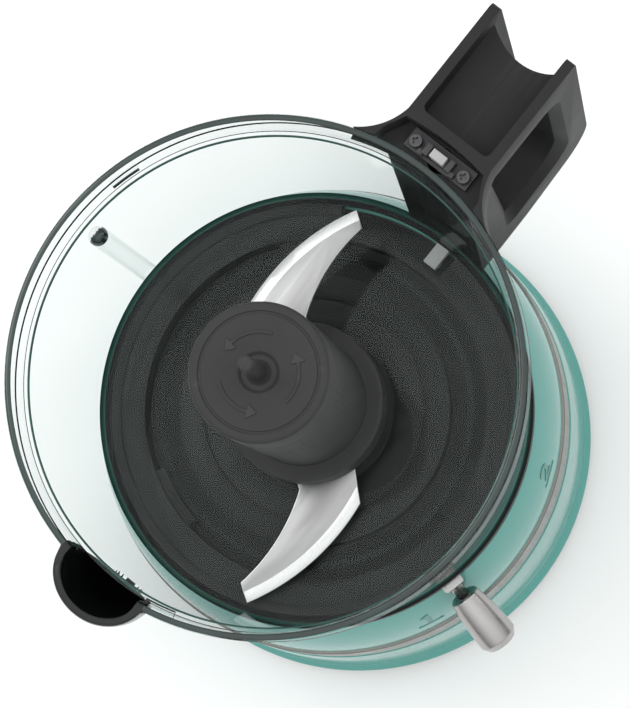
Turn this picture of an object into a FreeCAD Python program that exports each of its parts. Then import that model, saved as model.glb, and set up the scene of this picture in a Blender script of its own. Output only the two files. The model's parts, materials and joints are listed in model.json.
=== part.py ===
import FreeCAD, Part

# Food processor: a motor base with a speed lever, a clear work bowl with handle and spout, and a
# two-blade hub on a central spindle. The lid is off.
# Frame: origin on the table under the bowl's axis, +Z up, +X out along the handle, -Y to the front.

import math
import os

import Sketcher

# Driving sizes in mm and degrees. Each one becomes a spreadsheet cell with its name as alias.
SIZES = {
    # work bowl
    "rim_radius": 65.3, "rim_height": 193.0, "ledge_height": 181.0, "lip_wall": 2.2,
    "bowl_wall": 2.6, "ledge_inner": 61.6, "floor_inner": 57.6, "floor_height": 105.3,
    "floor_thick": 2.2, "foot_outer": 59.9, "bowl_corner": 1.7, "floor_round": 2.3,
    "chimney_inner": 8.5, "chimney_outer": 11.0, "chimney_top": 150.0,
    "foot_ring_outer": 44.2, "foot_ring_wall": 2.0, "foot_ring_bottom": 95.0, "lug_reach": 46.8,
    "lug_height": 2.4, "rib_radius": 2.7, "rib_azimuth": 89.0, "rib_low": 58.4, "rib_high": 60.8,
    "rib_top": 169.0, "tab_bottom": 186.5, "tab_height": 1.6,
    "spout_reach": 12.2, "spout_half_width": 13.0, "spout_depth": 35.0, "spout_centre": 63.8,
    "spout_wall": 2.2,
    # handle
    "handle_half_width": 13.0, "handle_reach": 107.3, "handle_bottom": 105.0, "rail_width": 2.7,
    "channel_depth": 10.0, "channel_radius": 17.2, "grip_web": 100.5, "finger_inner": 73.6,
    "finger_outer": 97.0, "finger_bottom": 120.0, "finger_top": 180.0, "finger_flare": 2.6,
    "bridge_inner": 73.0, "bridge_outer": 75.8, "pocket_floor": 185.0, "pocket_half": 12.2,
    "handle_foot": 58.0,
    "plunger_place": 69.0, "plunger_width": 4.2, "plunger_thick": 2.3, "plunger_top": 190.5,
    "plunger_radius": 1.5, "chamber_radius": 3.4, "chamber_floor": 140.0, "collar_height": 164.0,
    # base shells
    "flange_radius": 71.0, "skirt_bottom": 4.0, "skirt_radius": 68.8, "trim_radius": 67.2,
    "trim_bottom": 50.0, "trim_top": 68.2, "trim_seat": 64.3, "shoulder_radius": 66.1,
    "body_top": 96.6, "body_top_radius": 59.4, "shell_wall": 2.6,
    "foot_height": 4.0, "foot_radius": 6.5,
    # deck that carries the bowl
    "deck_top": 102.8, "deck_radius": 60.2, "deck_plate": 2.0, "recess_inner": 37.5, "recess_outer": 47.5,
    "recess_floor": 94.0, "deck_tube_inner": 6.3, "deck_tube_outer": 8.0, "deck_tube_top": 112.0,
    # drive
    "motor_offset": 30.0, "gear_module": 1.0, "gear_teeth": 48.0, "pinion_teeth": 12.0, "gear_bottom": 65.0,
    "gear_height": 10.0, "plate_bottom": 58.0, "plate_height": 3.0, "spindle_radius": 4.0,
    "drive_bottom": 158.0, "drive_top": 178.0, "drive_radius": 5.5, "running_gap": 0.05,
    "can_radius": 23.5, "can_wall": 1.7, "shaft_radius": 2.5,
    # blade assembly
    "hub_top_radius": 17.6, "hub_side_radius": 17.2, "hub_top": 199.0, "hub_bottom": 113.0,
    "hub_bore": 12.5,
    "collar_radius": 21.6, "collar_top": 125.0, "top_pin_radius": 2.3, "top_pin_length": 20.0,
    "blade_thick": 1.4, "upper_blade_height": 136.0, "lower_blade_height": 110.4,
    # speed lever
    "lever_azimuth": -103.0, "lever_bottom": 97.0, "lever_thick": 3.2, "neck_radius": 1.9,
    "knob_lean": 113.0, "slider_outer": 54.2, "lever_reach": 62.4,
    # interlock
    "pin_place": 52.6, "pin_radius": 1.6, "pin_top": 99.5, "foot_bottom": 99.9, "pin_collar": 92.0,
    "pin_shelf": 83.0,
}

doc = FreeCAD.newDocument("food_processor")
sheet = doc.addObject("Spreadsheet::Sheet", "sizes")
for row, (alias, number) in enumerate(SIZES.items(), start=1):
    sheet.set(f"A{row}", alias)
    sheet.set(f"B{row}", str(number))
    sheet.setAlias(f"B{row}", alias)
doc.recompute()


class Size:
    """A number together with the spreadsheet expression that it comes from."""

    def __init__(self, number, text):
        self.number = number
        self.text = text

    def join(self, other, sign, number):
        return Size(number, f"({self.text} {sign} {text_of(other)})")

    def __rmul__(self, other):
        return Size(other * self.number, f"({text_of(other)} * {self.text})")

    def __add__(self, other):
        return self.join(other, "+", self.number + number_of(other))

    def __sub__(self, other):
        return self.join(other, "-", self.number - number_of(other))

    def __mul__(self, other):
        return self.join(other, "*", self.number * number_of(other))

    def __truediv__(self, other):
        return self.join(other, "/", self.number / number_of(other))

    def __radd__(self, other):
        return Size(other + self.number, f"({text_of(other)} + {self.text})")

    def __rsub__(self, other):
        return Size(other - self.number, f"({text_of(other)} - {self.text})")

    def __neg__(self):
        return Size(-self.number, f"(0 - {self.text})")


def number_of(item):
    return item.number if isinstance(item, Size) else float(item)


def text_of(item):
    return item.text if isinstance(item, Size) else f"({float(item):.6g})"


class Sizes:
    """Every driving size as an attribute that remembers its spreadsheet cell."""

    def __getattr__(self, alias):
        return Size(SIZES[alias], f"sizes.{alias}")


d = Sizes()
nodes = []


def keep(thing, label):
    """Names a finished sub-part and lists it for export."""
    thing.Label = label
    nodes.append(thing)
    return thing


def bind(thing, prop, size):
    """Sets a property, through an expression where the size comes from the sheet."""
    if isinstance(size, Size):
        thing.setExpression(prop, size.text)
    else:
        setattr(thing, prop, size)


def place(thing, spot=(0, 0, 0), angle=0, axis=(0, 0, 1)):
    """Puts an object at a spot and turns it about an axis through that spot."""
    base = FreeCAD.Vector(*[number_of(v) for v in spot])
    thing.Placement = FreeCAD.Placement(base, FreeCAD.Rotation(FreeCAD.Vector(*axis), number_of(angle)))
    for letter, value in zip("xyz", spot):
        if isinstance(value, Size):
            thing.setExpression(f"Placement.Base.{letter}", value.text)
    return thing


def polar(radius, azimuth, height=0.0):
    """A point given by its distance from the base axis, azimuth in degrees and height."""
    turn = math.radians(number_of(azimuth))
    return (radius * math.cos(turn), radius * math.sin(turn), height)


def outline_sketch(body, plane, points):
    """A closed outline on one of the body's origin planes, each corner dimensioned from the origin.

    A point is (u, v), or (u, v, radius) where an arc of that radius arrives at it from the last one:
    positive bends the outline to the left of the chord, negative to the right.
    """
    sketch = body.newObject("Sketcher::SketchObject", "outline")
    sketch.AttachmentSupport = [(next(o for o in body.Origin.OriginFeatures if o.Role == plane), "")]
    sketch.MapMode = "FlatFace"
    spots = [FreeCAD.Vector(number_of(p[0]), number_of(p[1]), 0) for p in points]
    for i, point in enumerate(points):
        start, end = spots[i - 1], spots[i]
        if len(point) == 3:
            sketch.addGeometry(arc_between(start, end, number_of(point[2])))
        else:
            sketch.addGeometry(Part.LineSegment(start, end))
    for i, point in enumerate(points):
        follower = (i + 1) % len(points)
        bent = isinstance(sketch.Geometry[i], Part.ArcOfCircle)
        end_mark = 2
        if bent and number_of(point[2]) > 0:
            end_mark = 1
        next_bent = isinstance(sketch.Geometry[follower], Part.ArcOfCircle)
        start_mark = 1
        if next_bent and number_of(points[follower][2]) > 0:
            start_mark = 2
        sketch.addConstraint(Sketcher.Constraint("Coincident", i, end_mark, follower, start_mark))
        for kind, value in (("DistanceX", point[0]), ("DistanceY", point[1])):
            sketch.addConstraint(Sketcher.Constraint(kind, -1, 1, i, end_mark, number_of(value)))
            if isinstance(value, Size):
                sketch.setExpression(f"Constraints[{sketch.ConstraintCount - 1}]", value.text)
        if bent:
            sketch.addConstraint(Sketcher.Constraint("Radius", i, abs(number_of(point[2]))))
    return sketch


def arc_between(start, end, radius):
    """The short arc of the given radius from start to end; positive radius bulges left."""
    chord = end - start
    middle = (start + end) * 0.5
    left = FreeCAD.Vector(-chord.y, chord.x, 0).normalize()
    size = abs(radius)
    rise = size - math.sqrt(size * size - chord.Length * chord.Length / 4.0)
    top = middle + left * math.copysign(rise, radius)
    return Part.Arc(start, top, end)


def revolved(points, label=None):
    """A PartDesign body turned about Z from an (r, z) outline."""
    body = doc.addObject("PartDesign::Body", "turned")
    sketch = outline_sketch(body, "XZ_Plane", points)
    turn = body.newObject("PartDesign::Revolution", "turn")
    turn.Profile = (sketch, [""])
    turn.ReferenceAxis = (sketch, ["V_Axis"])
    turn.Angle = 360
    body.Tip = turn
    return keep(body, label) if label else body


def padded(points, length, plane="XY_Plane", symmetric=False, label=None):
    """A PartDesign body padded from an outline."""
    body = doc.addObject("PartDesign::Body", "padded")
    sketch = outline_sketch(body, plane, points)
    pad = body.newObject("PartDesign::Pad", "pad")
    pad.Profile = (sketch, [""])
    pad.SideType = "Symmetric" if symmetric else "One side"
    bind(pad, "Length", length)
    body.Tip = pad
    return keep(body, label) if label else body


def flared(narrow, wide, near, far):
    """A PartDesign body lofted along Y from a narrow XZ outline to a wide one."""
    body = doc.addObject("PartDesign::Body", "flared")
    sketches = []
    for points, y in ((narrow, near), (wide, far)):
        sketch = outline_sketch(body, "XZ_Plane", points)
        sketch.AttachmentOffset = FreeCAD.Placement(FreeCAD.Vector(0, 0, -number_of(y)), FreeCAD.Rotation())
        if isinstance(y, Size):
            sketch.setExpression("AttachmentOffset.Base.z", (-y).text)
        sketches.append(sketch)
    loft = body.newObject("PartDesign::AdditiveLoft", "flare")
    loft.Profile = sketches[0]
    loft.Sections = [(sketches[1], [""])]
    loft.Ruled = True
    body.Tip = loft
    return body


def cylinder(radius, height, spot=(0, 0, 0), sweep=360.0, angle=0, axis=(0, 0, 1)):
    thing = doc.addObject("Part::Cylinder", "round")
    bind(thing, "Radius", radius)
    bind(thing, "Height", height)
    thing.Angle = sweep
    return place(thing, spot, angle, axis)


def cone(radius, end_radius, height, spot=(0, 0, 0), angle=0, axis=(0, 0, 1)):
    thing = doc.addObject("Part::Cone", "taper")
    bind(thing, "Radius1", radius)
    bind(thing, "Radius2", end_radius)
    bind(thing, "Height", height)
    return place(thing, spot, angle, axis)


def box(low, high):
    """A block between two corners."""
    thing = doc.addObject("Part::Box", "block")
    for prop, a, b in zip(("Length", "Width", "Height"), low, high):
        bind(thing, prop, b - a)
    return place(thing, low)


def turned_box(radii, half_width, heights, azimuth):
    """A block set radially: between two radii, two heights and +-half_width at an azimuth."""
    inner, outer = radii
    block = doc.addObject("Part::Box", "block")
    bind(block, "Length", outer - inner)
    bind(block, "Width", half_width * 2)
    bind(block, "Height", heights[1] - heights[0])
    turn = math.radians(number_of(azimuth))
    x = number_of(inner) * math.cos(turn) + number_of(half_width) * math.sin(turn)
    y = number_of(inner) * math.sin(turn) - number_of(half_width) * math.cos(turn)
    return place(block, (x, y, heights[0]), azimuth)


def cut(base, *tools, label=None):
    thing = doc.addObject("Part::Cut", "cut")
    thing.Base = base
    thing.Tool = tools[0] if len(tools) == 1 else fuse(*tools)
    return keep(thing, label) if label else thing


def fuse(*parts, label=None):
    thing = doc.addObject("Part::MultiFuse", "fused")
    thing.Shapes = list(parts)
    return keep(thing, label) if label else thing


def common(base, tool, label=None):
    thing = doc.addObject("Part::Common", "common")
    thing.Base = base
    thing.Tool = tool
    return keep(thing, label) if label else thing


def group(parts, label):
    """Separate solids that share one node."""
    thing = doc.addObject("Part::Compound", "group")
    thing.Links = list(parts)
    return keep(thing, label)


def tube(inner, outer, bottom, top, centre=(0, 0), label=None):
    height = top - bottom
    spot = (*centre, bottom)
    return cut(cylinder(outer, height, spot), cylinder(inner, height, spot), label=label)


def sector(inner, outer, bottom, top, start, stop):
    """Part of a ring between two azimuths."""
    height = top - bottom
    wedge = cylinder(outer, height, (0, 0, bottom), sweep=number_of(stop) - number_of(start), angle=start)
    return cut(wedge, cylinder(inner, height, (0, 0, bottom)))


def screw(spot, length, head_up=True, head_radius=2.8, head_height=1.8, shank_radius=1.4):
    """A pan-head screw with a cross recess; spot is under its head."""
    x, y, z = spot
    way = 1 if head_up else -1
    head = cylinder(head_radius, head_height, (x, y, z if head_up else z - head_height))
    shank = cylinder(shank_radius, length, (x, y, z - length if head_up else z))
    top = z + way * head_height
    depth = head_height * 0.6
    low = top - depth if head_up else top - 0.01
    high = top + 0.01 if head_up else top + depth
    arm, half = head_radius * 0.6, 0.35
    slots = [box((x - a, y - b, low), (x + a, y + b, high)) for a, b in ((arm, half), (half, arm))]
    return cut(fuse(head, shank), *slots)


def bolt_holes(spots, radius, bottom, top):
    return [cylinder(radius, top - bottom, (x, y, bottom)) for x, y in spots]


def circle_spots(radius, azimuths):
    return [(number_of(radius) * math.cos(math.radians(a)), number_of(radius) * math.sin(math.radians(a)))
            for a in azimuths]


def spring(radius, wire, bottom, top, turns, centre, label):
    """A round-wire compression spring standing on Z."""
    helix = doc.addObject("Part::Helix", "coil_line")
    helix.Radius = radius
    helix.Pitch = (top - bottom - 2 * wire) / turns
    helix.Height = top - bottom - 2 * wire
    place(helix, (*centre, bottom + wire))
    section = doc.addObject("Part::Circle", "coil_section")
    section.Radius = wire
    place(section, (centre[0] + radius, centre[1], bottom + wire), 90, (1, 0, 0))
    sweep = doc.addObject("Part::Sweep", "coil")
    sweep.Sections = [section]
    sweep.Spine = (helix, [])
    sweep.Solid = True
    sweep.Frenet = True
    return keep(sweep, label)


def feature(shape, label=None, spot=(0, 0, 0), angle=0):
    thing = doc.addObject("Part::Feature", "shape")
    thing.Shape = shape
    place(thing, spot, angle)
    return keep(thing, label) if label else thing


# ---------------------------------------------------------------- base shells

PLATE_AZIMUTHS = (45, 135, 225, 315)
DECK_AZIMUTHS = (75, 195, 335)
BOTTOM_AZIMUTHS = (0, 90, 180, 270)
PLATE_SPOTS = circle_spots(54.0, PLATE_AZIMUTHS)
DECK_SPOTS = circle_spots(52.2, DECK_AZIMUTHS)
BOTTOM_SPOTS = circle_spots(61.0, BOTTOM_AZIMUTHS)
PILOT = 1.5


def base_shells():
    wall = d.shell_wall
    upper = revolved([
        (d.trim_seat - wall, d.trim_bottom),
        (d.trim_seat, d.trim_bottom),
        (d.trim_seat, d.trim_top),
        (d.shoulder_radius, d.trim_top),
        (d.body_top_radius, d.body_top, -70.0),
        (d.body_top_radius - 2.4, d.body_top),
        (d.body_top_radius - 2.4, d.body_top - 3.0),
        (d.shoulder_radius - 3.0, d.trim_top + 4.0),
        (d.trim_seat - wall, d.trim_top - 4.0),
    ])
    bosses = []
    for (x, y), a in zip(PLATE_SPOTS, PLATE_AZIMUTHS):
        web = turned_box((56.0, 62.5), 1.2, (61.0, 78.0), a)
        bosses.append(fuse(cylinder(4.0, 17.0, (x, y, 61.0)), web))
    for (x, y), a in zip(DECK_SPOTS, DECK_AZIMUTHS):
        web = turned_box((54.0, 60.5), 1.2, (76.0, 89.0), a)
        bosses.append(fuse(cylinder(3.6, 13.8, (x, y, 76.0)), web))
    holes = bolt_holes(PLATE_SPOTS, PILOT, 60.0, 76.0) + bolt_holes(DECK_SPOTS, PILOT, 75.0, 90.0)
    cut(fuse(upper, *bosses), *holes, label="base_housing")

    skirt = revolved([
        (d.flange_radius - 3.0, d.skirt_bottom),
        (d.flange_radius - 0.8, d.skirt_bottom),
        (d.flange_radius, d.skirt_bottom + 0.9, -1.2),
        (d.flange_radius, d.skirt_bottom + 2.6),
        (d.skirt_radius + 0.6, d.skirt_bottom + 6.0, -4.0),
        (d.skirt_radius, d.skirt_bottom + 11.0),
        (d.trim_radius + 0.3, d.trim_bottom - 1.0, -500.0),
        (d.trim_radius + 0.3, d.trim_bottom),
        (d.trim_seat, d.trim_bottom),
        (d.trim_seat, d.trim_bottom - 1.5),
        (d.skirt_radius - wall, d.skirt_bottom + 10.0),
        (d.flange_radius - 3.0, d.skirt_bottom + 4.5),
    ])
    posts = []
    for (x, y), a in zip(BOTTOM_SPOTS, BOTTOM_AZIMUTHS):
        posts.append(fuse(cylinder(3.6, 14.0, (x, y, 6.6)), turned_box((63.0, 67.0), 1.2, (9.0, 20.6), a)))
    inlet_hole = cylinder(6.05, 12.0, (0, 60.0, 28.0), angle=-90, axis=(1, 0, 0))
    holes = bolt_holes(BOTTOM_SPOTS, PILOT, 6.0, 19.0)
    cut(fuse(skirt, *posts), inlet_hole, *holes, label="base_skirt")

    revolved([
        (d.trim_seat, d.trim_bottom),
        (d.trim_radius - 0.5, d.trim_bottom),
        (d.trim_radius, d.trim_bottom + 0.5, -0.6),
        (d.trim_radius - 0.3, d.trim_top - 0.5),
        (d.trim_radius - 0.8, d.trim_top, -0.6),
        (d.trim_seat, d.trim_top),
    ], label="trim_band")


def bottom_parts():
    plate = cylinder(d.flange_radius - 3.3, 2.5, (0, 0, d.skirt_bottom))
    vents = [turned_box((r, r + 8.0), 1.1, (3.0, 8.0), a)
             for r in (24.0, 35.0) for a in range(150, 211, 10)]
    bosses = [cylinder(3.0, 13.5, (x, y, 6.5)) for x, y in BOARD_SPOTS]
    cup = tube(6.2, 8.0, 6.5, 9.0, (-30.0, 0))
    board_holes = bolt_holes(BOARD_SPOTS, PILOT, 10.0, 20.1)
    cut(fuse(plate, cup, *bosses), *vents, *board_holes, *bolt_holes(BOTTOM_SPOTS, PILOT, 3.0, 7.0),
        label="bottom_plate")
    feet = []
    for x, y in circle_spots(56.0, PLATE_AZIMUTHS):
        feet.append(cone(d.foot_radius - 0.8, d.foot_radius, d.foot_height, (x, y, 0)))
    group(feet, "feet")
    head_level = SIZES["skirt_bottom"]
    group([screw((x, y, head_level), 13.0, head_up=False) for x, y in BOTTOM_SPOTS], "bottom_screws")
    barrel = cylinder(6.0, 7.3, (0, 62.0, 28.0), angle=-90, axis=(1, 0, 0))
    flange = cylinder(7.6, 1.6, (0, 62.6, 28.0), angle=-90, axis=(1, 0, 0))
    nose = cone(6.0, 5.0, 1.5, (0, 69.3, 28.0), angle=-90, axis=(1, 0, 0))
    bore = cylinder(3.6, 14.0, (0, 60.0, 28.0), angle=-90, axis=(1, 0, 0))
    cut(fuse(barrel, flange, nose), bore, label="cord_inlet")


# ---------------------------------------------------------------- deck under the bowl

POCKET = (-5.0, 31.0)
LEVER_SLOT = (-113.0, -64.0)
TAB_AZIMUTHS = (40.0, 160.0, 280.0)


def deck_parts():
    under = d.deck_top - d.deck_plate
    deck = revolved([
        (d.deck_tube_inner, 90.0),
        (d.deck_tube_inner, d.deck_tube_top),
        (d.deck_tube_outer, d.deck_tube_top),
        (d.deck_tube_outer, d.deck_top),
        (d.recess_inner, d.deck_top),
        (d.recess_inner, d.recess_floor),
        (d.recess_outer, d.recess_floor),
        (d.recess_outer, d.deck_top),
        (d.deck_radius - 1.0, d.deck_top),
        (d.deck_radius, d.deck_top - 1.0, 1.0),
        (d.deck_radius, d.body_top),
        (d.body_top_radius - 2.6, d.body_top),
        (d.body_top_radius - 2.6, 91.0),
        (d.body_top_radius - 4.6, 91.0),
        (d.body_top_radius - 4.6, under),
        (d.recess_outer + 2.0, under),
        (d.recess_outer + 2.0, 92.0),
        (d.recess_inner - 2.0, 92.0),
        (d.recess_inner - 2.0, under),
        (10.0, under),
        (10.0, 90.0),
    ])
    tabs = [sector(d.recess_outer - 2.6, d.recess_outer + 0.5, 98.0, 100.6, a - 11.0, a + 11.0)
            for a in TAB_AZIMUTHS]
    floor = sector(d.recess_outer + 1.0, d.body_top_radius - 2.6, 93.8, 95.6,
                   POCKET[0] - 1.6, POCKET[1] + 1.6)
    ends = [sector(d.recess_outer + 1.0, d.body_top_radius - 3.0, 95.0, under, a, a + 1.6)
            for a in (POCKET[0] - 1.6, POCKET[1])]
    bosses = [cylinder(3.6, 11.0, (x, y, 90.0)) for x, y in DECK_SPOTS]
    ribs = [turned_box((9.0, 36.5), 1.0, (97.0, under), a) for a in range(0, 360, 45)]
    pocket = sector(49.9, 61.0, 95.6, 104.0, *POCKET)
    slot = sector(54.0, 61.0, d.body_top, under, *LEVER_SLOT)
    grooves = [tube(r, r + 0.9, d.deck_top - 0.5, d.deck_top + 1.0) for r in (22.0, 30.0, 53.5)]
    holes = bolt_holes(DECK_SPOTS, PILOT, 88.0, 99.0)
    pin_hole = cylinder(d.pin_radius + d.running_gap, 6.0, (d.pin_place, 0, 91.0))
    cut(fuse(deck, *tabs, floor, *ends, *bosses, *ribs), pocket, slot, *grooves, *holes, pin_hole,
        label="deck")
    group([screw((x, y, 76.0), 22.0, head_up=False) for x, y in DECK_SPOTS], "deck_screws")
    tube(d.spindle_radius + d.running_gap, d.deck_tube_inner, 100.0, 105.0, label="spindle_seal")


# ---------------------------------------------------------------- gearbox and spindle

COVER_SPOTS = [(15.75, 27.28), (15.75, -27.28), (-45.6, 0.0)]
WIRE_HOLE = (14.6, -47.0)


def involute_gear(teeth, bore, bottom, height, first_tooth):
    """A spur gear with 25 degree involute flanks; first_tooth is one tooth's azimuth in degrees."""
    module = SIZES["gear_module"]
    pitch = module * teeth / 2.0
    base = pitch * math.cos(math.radians(25.0))
    tip = pitch + 0.95 * module
    root = pitch - 1.25 * module
    backlash = 0.12 * module

    def involute(radius):
        angle = math.acos(min(1.0, base / radius))
        return math.tan(angle) - angle

    half_tooth = (math.pi * module / 2.0 - backlash) / (2.0 * pitch) + involute(pitch)
    steps = [max(base, root) + (tip - max(base, root)) * i / 6.0 for i in range(7)]
    edges = []
    for tooth in range(int(teeth)):
        centre = math.radians(first_tooth) + 2.0 * math.pi * tooth / teeth
        following = centre + 2.0 * math.pi / teeth
        right = [at(r, centre - half_tooth + involute(r)) for r in steps]
        left = [at(r, centre + half_tooth - involute(r)) for r in reversed(steps)]
        start, end = at(root, centre - half_tooth), at(root, centre + half_tooth)
        if root < base:
            edges.append(Part.LineSegment(start, right[0]).toShape())
        curve = Part.BSplineCurve()
        curve.interpolate(right)
        edges.append(curve.toShape())
        edges.append(Part.Arc(right[-1], at(tip, centre), left[0]).toShape())
        curve = Part.BSplineCurve()
        curve.interpolate(left)
        edges.append(curve.toShape())
        if root < base:
            edges.append(Part.LineSegment(left[-1], end).toShape())
        last = end if root < base else left[-1]
        bottom_radius = root if root < base else steps[0]
        unrolled = 0.0 if root < base else involute(steps[0])
        next_start = at(bottom_radius, following - half_tooth + unrolled)
        edges.append(Part.Arc(last, at(bottom_radius, (centre + following) / 2.0), next_start).toShape())
    face = Part.Face(Part.Wire(edges))
    solid = face.extrude(FreeCAD.Vector(0, 0, height))
    solid.translate(FreeCAD.Vector(0, 0, bottom))
    hole = Part.makeCylinder(bore, height + 2.0, FreeCAD.Vector(0, 0, bottom - 1.0))
    return solid.cut(hole)


def at(radius, turn):
    return FreeCAD.Vector(radius * math.cos(turn), radius * math.sin(turn), 0)


def gearbox():
    top = d.plate_bottom + d.plate_height
    plate = cylinder(61.4, d.plate_height, (0, 0, d.plate_bottom))
    boss = cylinder(9.5, 2.5, (0, 0, top))
    windows = [sector(36.0, 48.0, 57.0, 62.0, a, a + 30.0) for a in (52.0, 98.0, 200.0)]
    holes = bolt_holes(PLATE_SPOTS, PILOT, 57.0, 62.0) + bolt_holes(COVER_SPOTS, PILOT, 57.0, 62.0)
    holes += bolt_holes(MOTOR_SPOTS, PILOT, 57.0, 62.0)
    holes += [cylinder(7.0, 8.0, (0, 0, 57.0)), cylinder(4.6, 8.0, (-d.motor_offset, 0, 57.0))]
    holes.append(cylinder(2.0, 5.0, (*WIRE_HOLE, 57.0)))
    cut(fuse(plate, boss), *windows, *holes, label="gear_plate")
    group([screw((x, y, 58.0), 15.0, head_up=False) for x, y in PLATE_SPOTS], "plate_screws")

    def lobes(radius, lobe, half, bottom, height):
        around_gear = cylinder(radius, height, (0, 0, bottom))
        around_pinion = cylinder(lobe, height, (-d.motor_offset, 0, bottom))
        between = box((-SIZES["motor_offset"], -half, bottom), (0.0, half, bottom + height))
        return fuse(around_gear, around_pinion, between)

    shell = fuse(lobes(28.5, 11.5, 11.5, 61.0, 18.5), cylinder(9.5, 10.0, (0, 0, 78.0)),
                 *[cylinder(4.2, 2.0, (x, y, 61.0)) for x, y in COVER_SPOTS])
    inside = lobes(26.5, 9.5, 9.5, 60.9, 16.6)
    cut(shell, inside, cylinder(7.0, 20.0, (0, 0, 77.0)), *bolt_holes(COVER_SPOTS, PILOT, 60.0, 64.0),
        label="gear_cover")
    group([screw((x, y, 63.0), 4.8) for x, y in COVER_SPOTS], "cover_screws")
    gap = d.spindle_radius + d.running_gap
    tube(gap, 7.0, 58.0, 63.5, label="lower_spindle_bush")
    tube(gap, 7.0, 78.0, 88.0, label="upper_spindle_bush")

    gear = involute_gear(SIZES["gear_teeth"], SIZES["spindle_radius"], SIZES["gear_bottom"],
                         SIZES["gear_height"], 180.0)
    dishes = [Part.makeCylinder(20.5, 3.0, FreeCAD.Vector(0, 0, z)).cut(
        Part.makeCylinder(9.0, 3.0, FreeCAD.Vector(0, 0, z))) for z in (65.0, 72.0)]
    feature(gear.cut(dishes[0]).cut(dishes[1]), "output_gear")
    pinion = involute_gear(SIZES["pinion_teeth"], SIZES["shaft_radius"], 64.0, 12.0, 15.0)
    feature(pinion, "pinion", (-d.motor_offset, 0, 0))

    shaft = cylinder(d.spindle_radius, d.drive_bottom - 58.6, (0, 0, 58.6))
    hexagon = doc.addObject("Part::Prism", "hexagon")
    hexagon.Polygon = 6
    bind(hexagon, "Circumradius", d.drive_radius)
    bind(hexagon, "Height", d.drive_top - d.drive_bottom)
    place(hexagon, (0, 0, d.drive_bottom))
    tip = cone(4.6, 2.6, 2.0, (0, 0, d.drive_top))
    fuse(shaft, hexagon, tip, label="spindle")
    tube(d.spindle_radius, 6.0, 88.4, 89.4, label="retaining_ring")
    tube(d.spindle_radius, 7.5, 63.7, 64.8, label="thrust_washer")


# ---------------------------------------------------------------- motor

MOTOR_SPOTS = [(-30.0, 15.0), (-30.0, -15.0)]


def motor():
    x = -SIZES["motor_offset"]
    centre = (x, 0)
    can = fuse(tube(d.can_radius - d.can_wall, d.can_radius, 14.0, 52.0, centre),
               cylinder(d.can_radius, 2.0, (x, 0, 12.0)), cylinder(6.0, 3.0, (x, 0, 9.0)))
    slots = [box((x - 4.0, s - 3.0, 11.0), (x + 4.0, s + 3.0, 15.0)) for s in (-14.0, 14.0)]
    cut(can, cylinder(4.0, 8.0, (x, 0, 8.0)), *slots, label="motor_can")
    bell = fuse(cylinder(d.can_radius, 3.0, (x, 0, 55.0)), tube(21.8, d.can_radius, 52.0, 55.0, centre))
    cut(bell, cylinder(4.0, 6.0, (x, 0, 54.0)), *bolt_holes(MOTOR_SPOTS, PILOT, 54.0, 59.0),
        label="motor_end_bell")
    group([screw((a, b, 61.0), 5.6, head_height=1.6) for a, b in MOTOR_SPOTS], "motor_screws")
    group([tube(2.54, 4.0, 9.0, 13.5, centre), tube(2.54, 4.0, 55.0, 58.0, centre)], "motor_bearings")
    magnets = []
    for start in (-55.0, 125.0):
        arc = cylinder(21.7, 26.5, (x, 0, 20.0), sweep=110.0, angle=start)
        magnets.append(cut(arc, cylinder(18.3, 26.5, (x, 0, 20.0))))
    group(magnets, "motor_magnets")
    holders, brushes = [], []
    for side in (-1, 1):
        near, far = sorted((side * 7.4, side * 21.6))
        hole = box((x - 2.1, near - 1.0, 47.9), (x + 2.1, far + 1.0, 51.1))
        holders.append(cut(box((x - 3.2, near, 47.1), (x + 3.2, far, 51.9)), hole))
        near, far = sorted((side * 6.1, side * 15.0))
        brushes.append(box((x - 2.0, near, 48.0), (x + 2.0, far, 51.0)))
    group(holders, "brush_holders")
    group(brushes, "carbon_brushes")

    cylinder_core = cylinder(17.6, 20.0, (x, 0, 23.0))
    slot_boxes, coils = [], []
    for k in range(10):
        turn = 36.0 * k
        for radii, half, heights, keepers in (((9.0, 18.0), 1.3, (22.0, 44.0), slot_boxes),
                                              ((9.2, 16.6), 1.2, (22.8, 43.2), coils)):
            bar = turned_box(radii, half, heights, turn)
            keepers.append(place(bar, (bar.Placement.Base.x + x, bar.Placement.Base.y, heights[0]), turn))
    cut(cylinder_core, *slot_boxes, cylinder(d.shaft_radius, 22.0, (x, 0, 22.0)), label="armature_core")
    ends = [tube(5.0, 16.4, 18.6, 22.9, centre), tube(5.0, 16.4, 43.1, 46.0, centre)]
    fuse(*ends, *coils, label="armature_windings")
    bars = [box((x - 0.2, 5.0, 46.3), (x + 0.2, 6.5, 53.0))]
    drum = tube(d.shaft_radius, 6.0, 46.3, 53.0, centre)
    cut(drum, *bars, label="commutator")
    fan = [cylinder(6.0, 3.0, (x, 0, 14.8)), cylinder(15.0, 0.8, (x, 0, 14.8))]
    for k in range(9):
        blade = turned_box((5.0, 15.0), 0.5, (14.8, 17.8), 40.0 * k)
        fan.append(place(blade, (blade.Placement.Base.x + x, blade.Placement.Base.y, 14.8), 40.0 * k))
    cut(fuse(*fan), cylinder(d.shaft_radius, 6.0, (x, 0, 13.0)), label="cooling_fan")
    keep(cylinder(d.shaft_radius, 69.0, (x, 0, 8.0)), "motor_shaft")


# ---------------------------------------------------------------- electrics

BOARD_SPOTS = [(13.0, -26.0), (13.0, 26.0), (47.0, -26.0), (47.0, 26.0)]
SWITCH_AZIMUTH = -89.0


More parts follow.
